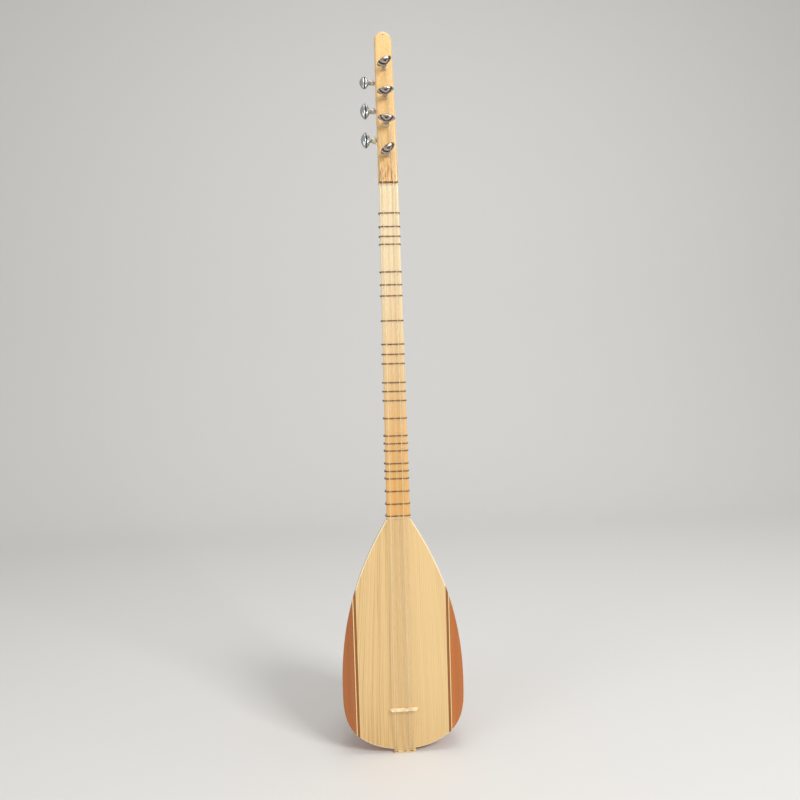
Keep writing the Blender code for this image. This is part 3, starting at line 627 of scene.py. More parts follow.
def plain_wood(name, light, dark, seed, contrast=0.6, fine=1100.0, gloss=0.32, coat=0.35):
    """Wood whose grain runs up Z: fine lines, slow bands, and short dark pores."""
    paint = Paint(name, Coat_Weight=coat, Coat_Roughness=0.12, Specular_IOR_Level=0.45)
    lines = paint.grain((fine, fine, 9.0), seed, detail=3.0, distortion=0.3)
    bands = paint.grain((95.0, 95.0, 2.6), seed + 3, distortion=0.5)
    pores = paint.grain((2600.0, 2600.0, 90.0), seed + 7, detail=1.0).between(0.62, 0.74)
    mask = ((lines - 0.5) * 1.5 + (bands - 0.5) * 1.9 + 0.42).clamped() * contrast + pores * (0.35 * contrast)
    base = paint.blend(mask.clamped(), light, dark)
    paint.bump(lines * 0.6 + pores * -0.8, 0.00006)
    return paint.finish(base, gloss + lines * 0.12)


def spruce(tones):
    """Quarter-sawn soundboard: straight grain lines 2.9 mm apart that fade in and out, darker streaks
    that are strongest on the bass side and draw together towards the neck, and a silk of short flecks."""
    paint = Paint("soundboard wood", Coat_Weight=0.30, Coat_Roughness=0.18, Specular_IOR_Level=0.4)
    x, _, z = paint.axes()
    drift = (paint.grain((5.0, 0.0, 3.5), 2, detail=1.0) - 0.5) * 0.004
    wander = paint.grain((60.0, 0.0, 0.8), 5)
    wave = ((x + drift) * 2150.0 + wander * 14.0).math("SINE") * 0.5 + 0.5
    lines = wave * wave * (0.35 + 0.65 * paint.grain((210.0, 0.0, 4.0), 9))
    fan = (x + drift) / (1.0 - (z - TAIL).math("MAXIMUM", 0.10) * 0.9)
    bass = 1.0 - x.between(-0.060, 0.012)
    narrow = paint.node("ShaderNodeCombineXYZ", {}, {0: fan * 130.0, 2: z * 0.9})
    streak = 1.0 - (paint.noise(narrow, roughness=0.55) - 0.5).math("ABSOLUTE").between(0.0, 0.040)
    second = paint.node("ShaderNodeCombineXYZ", {}, {0: fan * 260.0 + 9.0, 2: z * 1.3})
    thin = 1.0 - (paint.noise(second, detail=1.0) - 0.5).math("ABSOLUTE").between(0.0, 0.045)
    streak = (streak * 0.72 + thin * 0.55) * (0.18 + 0.82 * bass)
    broad = paint.node("ShaderNodeCombineXYZ", {}, {0: fan * 60.0 + 3.1, 2: z * 1.1})
    cloud = paint.noise(broad)
    fibre = paint.grain((3400.0, 0.0, 45.0), 11)
    silk = paint.grain((70.0, 0.0, 900.0), 13).between(0.55, 0.75)
    middle = x.between(-0.019, -0.014) * (1.0 - x.between(0.013, 0.018))
    # Painted shade: the left (bass) side is darkened, as the light falls from the right. The colour also
    # darkens towards the tail and in a band down the middle.
    painted_left_shade_and_darkening = bass * 0.07 + (1.0 - z.between(TAIL, TAIL + 0.16)) * 0.10 + middle * 0.06
    mask = 0.04 + lines * 0.26 + streak * 0.50 + (fibre - 0.5) * 0.4 + (cloud - 0.5) * 0.35 + painted_left_shade_and_darkening
    base = paint.blend(mask.clamped(), tones.board_light, tones.board_dark)
    base = paint.blend(silk * 0.10, base, scaled(tones.board_light, 1.12))
    paint.bump(lines * 0.5 + fibre * 0.4, 0.00005)
    return paint.finish(base, 0.30 + fibre * 0.16)


def neck_wood(tones):
    """Pale near the nut and deeper towards the body, with long faint streaks; below the last fret it
    takes the soundboard's colour."""
    paint = Paint("neck wood", Coat_Weight=0.45, Coat_Roughness=0.10, Specular_IOR_Level=0.45)
    _, _, z = paint.axes()
    deep = 1.0 - z.between(JOINT - 0.02, NUT - 0.05)
    base = paint.blend(deep, tones.neck_pale, tones.neck_deep)
    lines = paint.grain((900.0, 900.0, 7.0), 21, detail=3.0, distortion=0.2)
    bands = paint.grain((150.0, 150.0, 2.0), 23)
    mask = ((lines - 0.5) * 0.9 + (bands - 0.5) * 0.9 + 0.14).clamped()
    base = paint.blend(mask * 0.55, base, scaled(tones.neck_deep, 0.72))
    tongue = 1.0 - z.between(JOINT + 0.0042, JOINT + 0.0048)
    base = paint.blend(tongue, base, paint.blend(mask, tones.board_light, tones.board_dark))
    paint.bump(lines, 0.00004)
    return paint.finish(base, 0.26 + lines * 0.1)


def head_wood(tones):
    """Yellow-orange with brown streaks that gather near the nut."""
    paint = Paint("head wood", Coat_Weight=0.5, Coat_Roughness=0.10, Specular_IOR_Level=0.45)
    _, _, z = paint.axes()
    near_nut = 1.0 - z.between(NUT, NUT + 0.075)
    lines = paint.grain((750.0, 750.0, 8.0), 31, detail=3.0, distortion=0.4)
    streaks = paint.grain((260.0, 260.0, 5.0), 33, detail=3.0, distortion=0.8)
    mask = (lines - 0.5) * 0.9 + streaks.between(0.48, 0.66) * (0.12 + 0.55 * near_nut) + 0.10
    base = paint.blend(mask.clamped(), tones.head_light, tones.head_dark)
    paint.bump(lines, 0.00005)
    return paint.finish(base, 0.25 + lines * 0.1)


def lacquer(name, tone, cut_shade):
    """Pegs polished to a metal-like gloss, with painted highlights that make the ridges paler, and
    painted shade that darkens the cuts by the given factor."""
    paint = Paint(name, Metallic=0.75, Coat_Weight=0.6, Coat_Roughness=0.08)
    sheen_patches = paint.grain((70.0, 70.0, 70.0), 41)
    specks = paint.grain((1500.0, 1500.0, 1500.0), 43)
    carved = paint.node("ShaderNodeAttribute", {"attribute_name": "carving"}, {}, "Fac")
    # Painted highlight on the ridges, and painted shade in the cuts.
    ridge_highlight = paint.blend(sheen_patches * 0.5, scaled(tone, 2.2), scaled(tone, 1.5))
    base = paint.blend(carved.between(0.10, 0.42), ridge_highlight, scaled(tone, cut_shade))
    paint.bump(specks, 0.00001)
    return paint.finish(base, 0.18 + sheen_patches * 0.16)


def nylon(tones):
    """Amber nylon strands: clear and glossy, a little cloudy inside."""
    paint = Paint("fret nylon", Coat_Weight=0.4, Coat_Roughness=0.08, Specular_IOR_Level=0.55)
    cloud = paint.grain((600.0, 600.0, 600.0), 51)
    base = paint.blend(cloud.between(0.35, 0.7), scaled(tones.nylon, 0.7), scaled(tones.nylon, 1.5))
    paint.bump(cloud, 0.00003)
    return paint.finish(base, 0.20 + cloud * 0.15)


def plain_metal(tones):
    """Drawn steel wire with faint scratches along it."""
    paint = Paint("plain wire", Metallic=0.3)
    _, along = paint.surface()
    scuff = paint.grain((900.0, 900.0, 60.0), 61)
    stain = paint.grain((30.0, 30.0, 30.0), 63).between(0.55, 0.75)
    base = paint.blend(stain * 0.25, tones.steel, scaled(tones.steel, 0.55))
    paint.bump((along * 9000.0).math("SINE") * 0.2 + scuff, 0.00001)
    return paint.finish(base, 0.20 + scuff * 0.15)


def wound_metal(tones):
    """Bronze wire wound round a core: a fine screw thread whose grooves are darkened as painted shade, so
    that its crests look bright.
    """
    paint = Paint("wound wire", Metallic=0.3)
    turn, along = paint.surface()
    thread = (along * (2 * math.pi / 0.00042) + turn * (2 * math.pi)).math("SINE") * 0.5 + 0.5
    tarnish = paint.grain((60.0, 60.0, 25.0), 71)
    # Painted shade: the colour darkens in the thread's grooves; the tarnish is the wire's own.
    base = paint.blend((1.0 - thread) * 0.35 + tarnish * 0.2, tones.bronze, scaled(tones.bronze, 0.4))
    paint.bump(thread, 0.00008)
    return paint.finish(base, 0.24 + tarnish * 0.15)


def studio_floor(tones):
    """Plain matt paper with a very slight tooth."""
    paint = Paint("stage paper", Specular_IOR_Level=0.2)
    tooth = paint.grain((140.0, 140.0, 140.0), 81)
    base = paint.blend(tooth * 0.08, tones.floor, scaled(tones.floor, 0.9))
    return paint.finish(base, 0.82 + tooth * 0.08)


# ---------------------------------------------------------------- shapes of the body

def pear(distance, full, at_joint, body):
    """Half size at a distance from the tail. Up to the widest place it is full x the square root of
    1 - (1 - distance / widest) ^ tail power; beyond it, full less a share that grows with a power."""
    near_tail = np.clip(1 - distance / body.widest, 0, 1)
    past = np.clip((distance - body.widest) / (BODY_LENGTH - body.widest), 0, 1)
    return full * np.sqrt(1 - near_tail**body.tail_power) - (full - at_joint) * past**body.neck_power


def tail_distance(half, body):
    """Where the outline first reaches a half width: the blunt oval turned round."""
    return body.widest * (1 - np.power(1 - (half / HALF_WIDTH) ** 2, 1 / body.tail_power))


def neck_distance(half, body):
    """Where the outline last has a half width: the closing curve turned round."""
    fall = (HALF_WIDTH - half) / (HALF_WIDTH - body.shoulder_half)
    return body.widest + np.power(fall, 1 / body.neck_power) * (BODY_LENGTH - body.widest)


def body_rows(first_half, body, count):
    """Distances from the tail, close together round its blunt end."""
    turn = np.linspace(math.asin(first_half / HALF_WIDTH), math.pi / 2, count // 2)
    tail = body.widest * (1 - np.power(np.cos(turn).clip(0), 2 / body.tail_power))
    neck = np.linspace(body.widest, BODY_LENGTH, count - count // 2 + 1)[1:]
    return np.concatenate((tail, neck))


def bowl_points(turns, distances, inset, body):
    """Points of the bowl: half ovals (width cos t, depth sin t) whose width and depth follow the pear,
    drawn in by the inset, and by more of it at the shoulder, where the surface slopes."""
    rim = BOARD_BACK + body.gap
    flare = 1.2
    width = pear(distances, HALF_WIDTH - inset, body.shoulder_half - inset * flare, body)
    depth = pear(distances, BOWL_BACK - rim - inset, body.shoulder_depth - inset * flare, body)
    height = TAIL + inset + distances * (1 - inset / BODY_LENGTH)
    x, y, z = np.broadcast_arrays(
        width[:, None] * np.cos(turns), rim + depth[:, None] * np.sin(turns), height[:, None]
    )
    return np.stack((x, y, z), axis=-1)


def rib_skin(index, body):
    """One rib: the bowl between two turns, outside and inside, less half a glue gap at each seam."""
    distances = body_rows(body.cap_half, body, 64)
    edges = np.array((index, index + 1)) * math.pi / RIB_COUNT
    width = pear(distances, HALF_WIDTH, body.shoulder_half, body)[:, None]
    depth = pear(distances, BOWL_BACK - BOARD_BACK, body.shoulder_depth, body)[:, None]
    arc = np.hypot(width * np.sin(edges), depth * np.cos(edges))
    seam = body.gap / 2 / arc * (index > 0, index < RIB_COUNT - 1)
    start, end = edges[0] + seam[:, :1], edges[1] - seam[:, 1:]
    turns = part_way(start, end, np.linspace(0, 1, 15))
    outer = bowl_points(turns, distances, 0.0, body)
    inner = bowl_points(turns[:, ::-1], distances, body.shell, body)
    return loft(np.concatenate((outer, inner), axis=1))


def right_half(first_swing, last_swing, rows, body):
    """Half the pear in X and Z: its tail between two swings s, where the half width is the full one
    x sin s, and then its neck side at the given distances from the tail."""
    tail_half = HALF_WIDTH * np.sin(np.linspace(first_swing, last_swing, 60))
    tail = np.column_stack((tail_half, TAIL + tail_distance(tail_half, body)))
    neck = np.column_stack((pear(rows, HALF_WIDTH, body.shoulder_half, body), TAIL + rows))
    return np.vstack((tail, neck))


def board_outline(inner, body):
    """The middle board: the pear cut off by two straight lines."""
    rows = np.linspace(float(neck_distance(inner, body)), BODY_LENGTH, 60)
    right = right_half(0.0, math.asin(inner / HALF_WIDTH), rows, body)
    return np.vstack((right, (right * (-1, 1))[::-1][:-1]))


def wing_outline(inner, body, side):
    """A wing: what the straight line leaves of the pear."""
    rows = np.linspace(body.widest, float(neck_distance(inner, body)), 60)[1:]
    right = right_half(math.asin(inner / HALF_WIDTH), math.pi / 2, rows, body)
    return right if side > 0 else (right * (-1, 1))[::-1]


# ---------------------------------------------------------------- shapes of the neck and head

def neck_size(height, neck):
    """Width and depth, which change evenly from the body to the nut."""
    up = (height - JOINT) / (NUT - JOINT)
    return part_way(neck.width_body, neck.width_nut, up), part_way(neck.depth_body, neck.depth_nut, up)


def neck_section(height, neck):
    """Flat front with two quarter-round edges and a half-oval back, y counted from the front."""
    width, depth = neck_size(height, neck)
    edge = neck.edge
    corner = np.radians(np.linspace(-90, 0, 6))
    back = np.radians(np.linspace(0, 180, 40))
    rise = depth * neck.back_share
    centre = width / 2 - edge
    right = np.column_stack((centre + edge * np.cos(corner), edge * (1 + np.sin(corner))))
    arc = np.column_stack((width / 2 * np.cos(back), depth - rise + rise * np.sin(back)))[1:-1]
    return np.vstack((right, arc, right[::-1] * (-1, 1)))


def neck_skin(neck, body):
    """The neck from the body to the head: sections that narrow evenly from one end to the other."""
    rings = []
    for height in np.linspace(JOINT + body.gap, NECK_TOP, 30):
        x, y = neck_section(height, neck).T
        rings.append(level_ring(x, FRONT + y, height))
    return loft(rings)


def evenly(loop, count):
    """A closed row of points resampled at even steps along its length."""
    closed = np.vstack((loop, loop[:1]))
    along = np.concatenate(([0.0], np.cumsum(np.linalg.norm(np.diff(closed, axis=0), axis=1))))
    wanted = np.linspace(0, along[-1], count, endpoint=False)
    return np.column_stack([np.interp(wanted, along, closed[:, axis]) for axis in range(closed.shape[1])])


def outward(loop, distance):
    """A closed row of points moved out along its own normal."""
    step = np.roll(loop, -1, axis=0) - np.roll(loop, 1, axis=0)
    normal = np.column_stack((step[:, 1], -step[:, 0]))
    return loop + distance * normal / np.linalg.norm(normal, axis=1)[:, None]


def fret_skin(height, neck, body):
    """Closed strands side by side round the neck's section, and a knot on the bass side: a strand along
    ((2 + cos 3t) cos 2t, (2 + cos 3t) sin 2t, sin 3t), flattened against the neck."""
    loop = outward(evenly(neck_section(height, neck), 96), body.gap + neck.strand)
    skin = None
    for turn in range(neck.turns):
        level = height + (turn - (neck.turns - 1) / 2) * neck.strand * 2.02
        path = level_ring(loop[:, 0], FRONT + loop[:, 1], level)
        strand = ring_loop(tube_rings(path, neck.strand, 8, (0, 0, 1), closed=True))
        skin = strand if skin is None else skin + strand
    t = np.linspace(0, 2 * math.pi, 72, endpoint=False)
    wide = 2 + np.cos(3 * t)
    across, up, out = wide * np.cos(2 * t) / 3, wide * np.sin(2 * t) / 3, np.sin(3 * t)
    side = -neck_size(height, neck)[0] / 2 - body.gap - neck.strand * 2.4
    start = np.array((side, FRONT + neck.edge + neck.knot_back, height))
    path = start + np.column_stack((out * neck.strand * 1.1, across * neck.knot, up * neck.knot * 1.05))
    knot = ring_loop(tube_rings(path, neck.strand * 0.9, 8, (1, 0, 0), closed=True))
    return skin + knot


def head_frame(neck):
    """Place and turn of the peg head: its front starts at the top of the neck and leans back."""
    return Matrix.Translation((0.0, FRONT, NECK_TOP + GLUE_GAP)) @ Matrix.Rotation(-neck.tilt, 4, "X")


def head_size(up, neck):
    """Width and depth, which change evenly from the nut to the top."""
    part = up / neck.head_length
    width = part_way(neck.head_base, neck.head_top, part)
    return width, part_way(neck.head_depth_base, neck.head_depth_top, part)


def head_ring(up, neck, shrink=1.0, lean=0.0):
    """A rectangle with quarter-round corners; lean tips it so that the joint with the neck is level."""
    width, depth = head_size(up, neck)
    width *= shrink
    edge = neck.head_edge * shrink
    turn = np.radians(np.arange(4)[:, None] * 90 + np.linspace(-90, 0, 9))
    centre = np.array(((1, 0), (1, 1), (-1, 1), (-1, 0)))
    x = centre[:, :1] * (width / 2 - edge) + edge * np.cos(turn)
    y = np.where(centre[:, 1:] == 1, depth - edge, edge) + edge * np.sin(turn)
    return np.column_stack((x.ravel(), y.ravel(), up + y.ravel() * lean))


def head_skin(neck):
    """The head's rings, drawn in at the top by a quarter circle."""
    lean = math.tan(neck.tilt)
    rings = [head_ring(0.0, neck, lean=lean)]
    rings += [head_ring(up, neck) for up in np.linspace(0.012, neck.head_length - neck.head_round, 18)]
    for turn in np.radians(np.linspace(8, 86, 12)):
        up = neck.head_length - neck.head_round * (1 - math.sin(turn))
        rings.append(head_ring(up, neck, math.cos(turn)))
    return loft(rings).moved(head_frame(neck))


# ---------------------------------------------------------------- pegs

def peg_frame(node, neck):
    """A frame at the peg's entry with +Z out along its shaft and +X along the button at no turn."""
    sideways = node in SIDE_PEGS
    quarter = Matrix.Rotation(-math.pi / 2 if sideways else math.pi / 2, 3, "Y" if sideways else "X")
    matrix = (head_frame(neck).to_3x3() @ quarter).to_4x4()
    matrix.translation = Vector(JOINTS[node]["pos_m"])
    if (matrix.col[2].xyz - Vector(JOINTS[node]["axis"])).length > 0.01:
        raise RuntimeError(f"{node} doesn't stand along its axis")
    return matrix


def peg_skin(length, place, pegs, carving):
    """A turned profile (radius against height) for the shaft and collar, then a leaf-shaped button: rings
    (a cos t, b sin t) up a height u from 0 to 1. The length a follows l = sqrt(1 - |2u - 1|^1.25), which
    is fullest half-way up, and the thickness b follows sin(pi u)^0.55. The thickness is drawn in by
    depth x (1 - |sin(pi n (u - slope |cos t| l))|^0.7): n nested V-shaped cuts, up to a share of the
    height, that fade out at both ends. Carving holds n, the slope and that share."""
    flutes, slope, carved_reach = carving
    turn = full_turn(96)
    free, collar = pegs.free, pegs.collar
    profile = [
        (-length, pegs.tip * 0.6), (-length + 0.0004, pegs.tip * 0.93), (-length + 0.001, pegs.tip),
        (0.0, pegs.shaft), (free - 0.0006, pegs.shaft), (free - 0.0003, pegs.shaft * 1.1),
        (free, collar * 0.90), (free + 0.0004, collar * 0.99), (free + 0.0008, collar),
        (free + 0.0012, collar * 0.99), (free + 0.0016, collar * 0.9), (free + 0.0018, collar * 0.78),
        (free + 0.0021, collar * 0.72),
    ]
    round_rings = np.stack([
        level_ring(radius * np.cos(turn), radius * np.sin(turn), height) for height, radius in profile
    ])
    start, neck_in = profile[-1]
    rise = (1 - np.cos(np.pi * np.linspace(0.0, 1.0, 56))) / 2
    lens = np.sqrt(np.clip(1 - np.abs(2 * rise - 1) ** 1.25, 0, 1))
    swell = np.power(np.sin(np.pi * np.clip(rise, 0, 1)).clip(0), 0.55)
    blend = (1 - rise) ** 3
    wide = np.maximum(pegs.half_length * lens, neck_in * blend)
    thick = np.maximum(pegs.half_thick * swell, neck_in * blend)
    phase = rise[:, None] - slope * np.abs(np.cos(turn)) * lens[:, None]
    cut_in = 1 - np.abs(np.sin(np.pi * flutes * phase)) ** 0.7
    fade = np.clip(rise * 5.0, 0, 1) * np.clip((carved_reach - rise) * 9.0, 0, 1)
    keep = 1 - pegs.flute_depth * cut_in * fade[:, None]
    height = start + pegs.height * rise
    button = np.stack((
        wide[:, None] * np.cos(turn) * (0.75 + 0.25 * keep), thick[:, None] * keep * np.sin(turn),
        np.repeat(height[:, None], len(turn), 1),
    ), axis=-1)
    skin = loft(np.concatenate((round_rings, button[1:-1]), axis=0)).moved(place)
    carved = (cut_in * fade[:, None])[1:-1].ravel()
    plain = len(profile) * len(turn)
    skin.carving = np.concatenate((np.zeros(plain), carved, np.zeros(2)))
    return skin


# ---------------------------------------------------------------- bridge and strings

def bridge_skin(body):
    """A filed bar: eight points round it at each place along X, four above the middle and four below.
    The top edge is shorter than the base, so each end leans in, and it dips by the notch depth
    x exp(-(d / notch half width)^2) at a distance d from each string."""
    start, end = low("bridge"), high("bridge")
    end_inset = 0.0002
    x = np.linspace(start[0] + end_inset, end[0] - end_inset, 260)
    inner = x * (body.bridge_top_half / ((end[0] - start[0]) / 2))
    notch_half = 0.0005
    notch = body.bridge_notch * np.exp(-(((x[:, None] - STRINGS_AT_TAIL) / notch_half) ** 2)).sum(axis=1)
    top = start[1] + notch
    half_base, half_top, edge = (end[2] - start[2]) / 2, 0.0010, 0.0004
    upper = (
        (x, np.full_like(x, end[1]), half_base),
        ((x + inner) / 2, (end[1] + top) / 2, (half_base + half_top) / 2),
        (inner, top + edge, half_top),
        (inner, top, half_top * 0.6),
    )
    lower = tuple((across, depth, -up) for across, depth, up in reversed(upper))
    columns = [level_ring(across, depth, BRIDGE + up) for across, depth, up in upper + lower]
    return loft(np.stack(columns, axis=1))


def tangent_place(start, centre, radius):
    """Where a line from start touches a circle on its right-hand side."""
    to_centre = Vector(centre) - Vector(start)
    reach = math.sqrt(to_centre.length_squared - radius**2)
    turn = math.asin(radius / to_centre.length)
    return Vector(start) + (Matrix.Rotation(-turn, 2) @ to_centre.normalized()) * reach


def winding_path(radius, pegs, strings, start_turn):
    """Turns round the shaft in three layers: r(t) = inner + layer(t), which grows by most of a strand
    from layer to layer and wavers a little, and h(t) = low + span x a triangle wave of t."""
    t = np.linspace(0, 1, int(strings.turns * 30))
    turn = start_turn + 2 * math.pi * strings.turns * t
    layer = 1.55 * radius * (np.floor(t * 2.999) + 0.10 * np.sin(turn * 3.1))
    sweep = np.abs(((t * 1.5 + 0.25) % 1.0) * 2 - 1)
    height = strings.winding_low + radius + (strings.winding_span - 2 * radius) * sweep
    reach = pegs.shaft + WINDING_GAP + radius + layer
    return np.column_stack((reach * np.cos(turn), reach * np.sin(turn), height))


def string_route(index, radius, neck, pegs):
    """The corners of a string's path: out of the holder's hole, up over the bridge and the nut, and to
    the place where it first touches its peg's shaft."""
    hole_up = 0.0029                           # height of the holes above the holder's flat bottom
    hole = float(low("string_holder")[2]) + hole_up
    inside = part_way(FRONT, float(high("string_holder")[1]), 0.6)
    lip, turned_out = 0.0004, 0.0011           # how far it stands out at the hole, and once it has turned up
    beside_bridge, beside_nut = 0.0034, 0.0011
    air = 0.0002                               # under the string where it crosses the bridge and the nut
    over_bridge, over_nut = (float(low(node)[1]) - radius - air for node in ("bridge", "nut"))
    at_tail, at_nut = STRINGS_AT_TAIL[index], STRINGS_AT_NUT[index]
    route = [
        (at_tail, inside, hole), (at_tail, FRONT - lip, hole),
        (at_tail, FRONT - turned_out, hole + turned_out),
        (at_tail, FRONT - turned_out, hole + 2 * turned_out),
        (at_tail, over_bridge, BRIDGE - beside_bridge), (at_tail, over_bridge, BRIDGE + beside_bridge),
        (at_nut, over_nut, NUT - beside_nut), (at_nut, over_nut, NUT + beside_nut),
    ]
    head = head_frame(neck)
    peg = head.inverted() @ peg_frame(STRING_PEGS[index], neck).translation
    begin = head.inverted() @ Vector(route[-1])
    reach = pegs.shaft + WINDING_GAP + radius
    from_wood = 0.0045                         # where it touches the shaft, counted out from the wood
    if STRING_PEGS[index] in FRONT_PEGS:
        touch = tangent_place((begin.x, begin.z), (peg.x, peg.z), reach)
        return [*route, head @ Vector((touch.x, -from_wood, touch.y))]
    # On its way to a side peg a string bends round the head's edge, 40 degrees from its front. The
    # corner stands further out, because rounding it cuts it short.
    up = part_way(begin.z, peg.z, 0.72)
    edge_air, rounding_loss, lean = 0.0006, 1.16, math.radians(40)
    corner = (neck.head_edge + radius + edge_air) * rounding_loss
    bend = Vector((
        neck.head_edge - head_size(up, neck)[0] / 2 - corner * math.sin(lean),
        neck.head_edge - corner * math.cos(lean), up,
    ))
    touch = tangent_place((-bend.y, bend.z), (-peg.y, peg.z), reach)
    return [*route, head @ bend, head @ Vector((peg.x - from_wood, -touch.x, touch.y))]


def loose_end(radius, neck):
    """The cut end of the last string: a curl from its peg through a few places, rounded."""
    places = (
        (0.0030, -0.0060, 0.0031), (0.0090, -0.0058, 0.0090), (0.0165, -0.0050, 0.0220),
        (0.0208, -0.0045, 0.0320), (0.0233, -0.0042, 0.0420), (0.0232, -0.0040, 0.0520),
        (0.0212, -0.0040, 0.0610),
    )
    head = head_frame(neck)
    peg = head.inverted() @ peg_frame(STRING_PEGS[-1], neck).translation
    points = [np.array(head @ (peg + Vector(place))) for place in places]
    return loft(tube_rings(rounded(points, 0.006, 7), radius, 8, (0, 1, 0)))


def string_skin(index, radius, neck, pegs, strings):
    """A string from the holder to its peg, its winding, and the last string's loose end."""
    route = string_route(index, radius, neck, pegs)
    place = peg_frame(STRING_PEGS[index], neck)
    contact = place.inverted() @ Vector(route[-1])
    turns = winding_path(radius, pegs, strings, math.atan2(contact.y, contact.x))
    coil = turns @ np.array(place.to_3x3()).T + np.array(place.translation)
    skin = loft(tube_rings(rounded(route, strings.bend), radius, 10, (1, 0, 0)))
    skin = skin + loft(tube_rings(coil, radius, 7, place.col[2].xyz))
    if index == len(STRINGS) - 1:
        skin = skin + loose_end(radius, neck)
    return skin


# ---------------------------------------------------------------- operators

class LuteMaker:
    """What every operator shares: a way to its groups of settings."""

    bl_options = {"REGISTER", "UNDO"}

    def settings(self, context, *groups):
        """The groups of settings with these names."""
        return [getattr(context.scene, f"lute_{group}") for group in groups]


class LUTE_OT_bowl(LuteMaker, bpy.types.Operator):
    """Make the ribs of the bowl and dress the blocks inside it"""

    bl_idname = "lute.make_bowl"
    bl_label = "Bowl"

    def execute(self, context):
        body, tones = self.settings(context, "body", "colours")
        for index in range(RIB_COUNT):
            number = index + 1
            shade, slot = (0.62, "rib_dark") if index % 2 else (1.06, "rib_light")
            light = scaled(tones.wing_light, shade * (0.95 + 0.03 * (index % 3)))
            wood = plain_wood(
                f"rib wood {number}", light, scaled(tones.wing_dark, shade), 100 + 11 * index,
                contrast=0.75, fine=800.0, gloss=0.20, coat=0.6,
            )
            piece(f"rib_{number}", rib_skin(index, body).mesh("rib"), wood, f"bowl_rib_{number}", 50.0)
        inside = plain_wood("block wood", tones.wing_light, tones.wing_dark, 190, gloss=0.5, coat=0.0)
        for node in ("end_block", "neck_block"):
            dress(node, inside)
        return {"FINISHED"}


class LUTE_OT_soundboard(LuteMaker, bpy.types.Operator):
    """Make the soundboard and its wings and dress the inlay lines"""

    bl_idname = "lute.make_soundboard"
    bl_label = "Soundboard"

    def execute(self, context):
        body, tones = self.settings(context, "body", "colours")
        mesh = plate(board_outline(BOARD_INNER, body), BOARD_INNER, "board")
        board = piece("soundboard_planed", mesh, spruce(tones), "soundboard", 60.0)
        edging = plain_wood("board edging", tones.pale_wood, tones.board_dark, 205, 0.25)
        bevelled(board, body.board_edge, edging)
        # Painted shade: the left wing takes a darker copy of the wing colour, as the light falls from the
        # right.
        for side, name, shade in ((1, "right", 1.0), (-1, "left", body.left_wing_painted_shade)):
            light, dark = scaled(tones.wing_light, shade), scaled(tones.wing_dark, shade)
            wood = plain_wood(f"wing wood {name}", light, dark, 200 + side, 0.55, gloss=0.26)
            mesh = plate(wing_outline(WING_INNER, body, side), WING_INNER, "wing")
            wing = piece(f"wing_{name}", mesh, wood, f"soundboard_wing_{name}", 60.0)
            bevelled(wing, body.board_edge * 0.6, wood)
            pale = plain_wood(f"light inlay {name}", tones.inlay, tones.board_dark, 210, 0.3)
            dress(f"light_line_{name}", pale)
            brown_grain = scaled(tones.dark_wood, 0.8)
            brown = plain_wood(f"brown inlay {name}", tones.dark_wood, brown_grain, 220, 0.6)
            dress(f"brown_line_{name}", brown)
        return {"FINISHED"}


class LUTE_OT_neck(LuteMaker, bpy.types.Operator):
    """Make the neck and the nut"""

    bl_idname = "lute.make_neck"
    bl_label = "Neck and nut"

    def execute(self, context):
        body, neck, tones = self.settings(context, "body", "neck", "colours")
        mesh = neck_skin(neck, body).mesh("neck")
        carved = piece("neck_carved", mesh, neck_wood(tones), "neck", 50.0)
        # The cutter for the nut's seat runs out of the neck's front, sides and top.
        past_front, past_top = 0.01, 0.02
        across, out = (np.array(((-1, 0), (1, 0), (1, 1), (-1, 1))) * (neck.width_nut, past_front)).T
        seat_back, seat = high("nut")[1] + body.gap, low("nut")[2] - body.gap
        rings = [level_ring(across, seat_back - out, height) for height in (seat, seat + past_top)]
        cut(carved, [loft(rings).mesh("nut seat")])
        dress("nut", plain_wood("nut wood", tones.dark_wood, scaled(tones.dark_wood, 0.5), 230, 0.7))
        return {"FINISHED"}


class LUTE_OT_frets(LuteMaker, bpy.types.Operator):
    """Tie the frets round the neck"""

    bl_idname = "lute.make_frets"
    bl_label = "Frets"

    def execute(self, context):
        body, neck, tones = self.settings(context, "body", "neck", "colours")
        material = nylon(tones)
        for node in FRETS:
            height = float((low(node)[2] + high(node)[2]) / 2)
            mesh = fret_skin(height, neck, body).mesh(node)
            piece(f"{node}_tied", mesh, material, node, 60.0)
        return {"FINISHED"}


class LUTE_OT_head(LuteMaker, bpy.types.Operator):
    """Make the peg head with its peg holes"""

    bl_idname = "lute.make_head"
    bl_label = "Peg head"

    def execute(self, context):
        neck, pegs, tones = self.settings(context, "neck", "pegs", "colours")
        crease = 30.0
        mesh = head_skin(neck).mesh("head")
        head = piece("head_carved", mesh, head_wood(tones), "peg_head", crease)
        # Each cutter runs out of both faces of the wood.
        turn = full_turn(32)
        radius = pegs.shaft + GLUE_GAP
        x, y = radius * np.cos(turn), radius * np.sin(turn)
        hole = loft([level_ring(x, y, height) for height in (-0.05, 0.004)])
        cutters = [hole.moved(peg_frame(node, neck)).mesh("peg hole") for node in FRONT_PEGS + SIDE_PEGS]
        x = neck.hang_radius * np.cos(turn)
        z = neck.head_length - neck.hang_down + neck.hang_radius * np.sin(turn)
        hole = loft([np.column_stack((x, np.full(len(turn), depth), z)) for depth in (-0.01, 0.05)])
        cutters.append(hole.moved(head_frame(neck)).mesh("hanging hole"))
        cut(head, cutters)
        head.data.set_sharp_from_angle(angle=math.radians(crease))
        return {"FINISHED"}


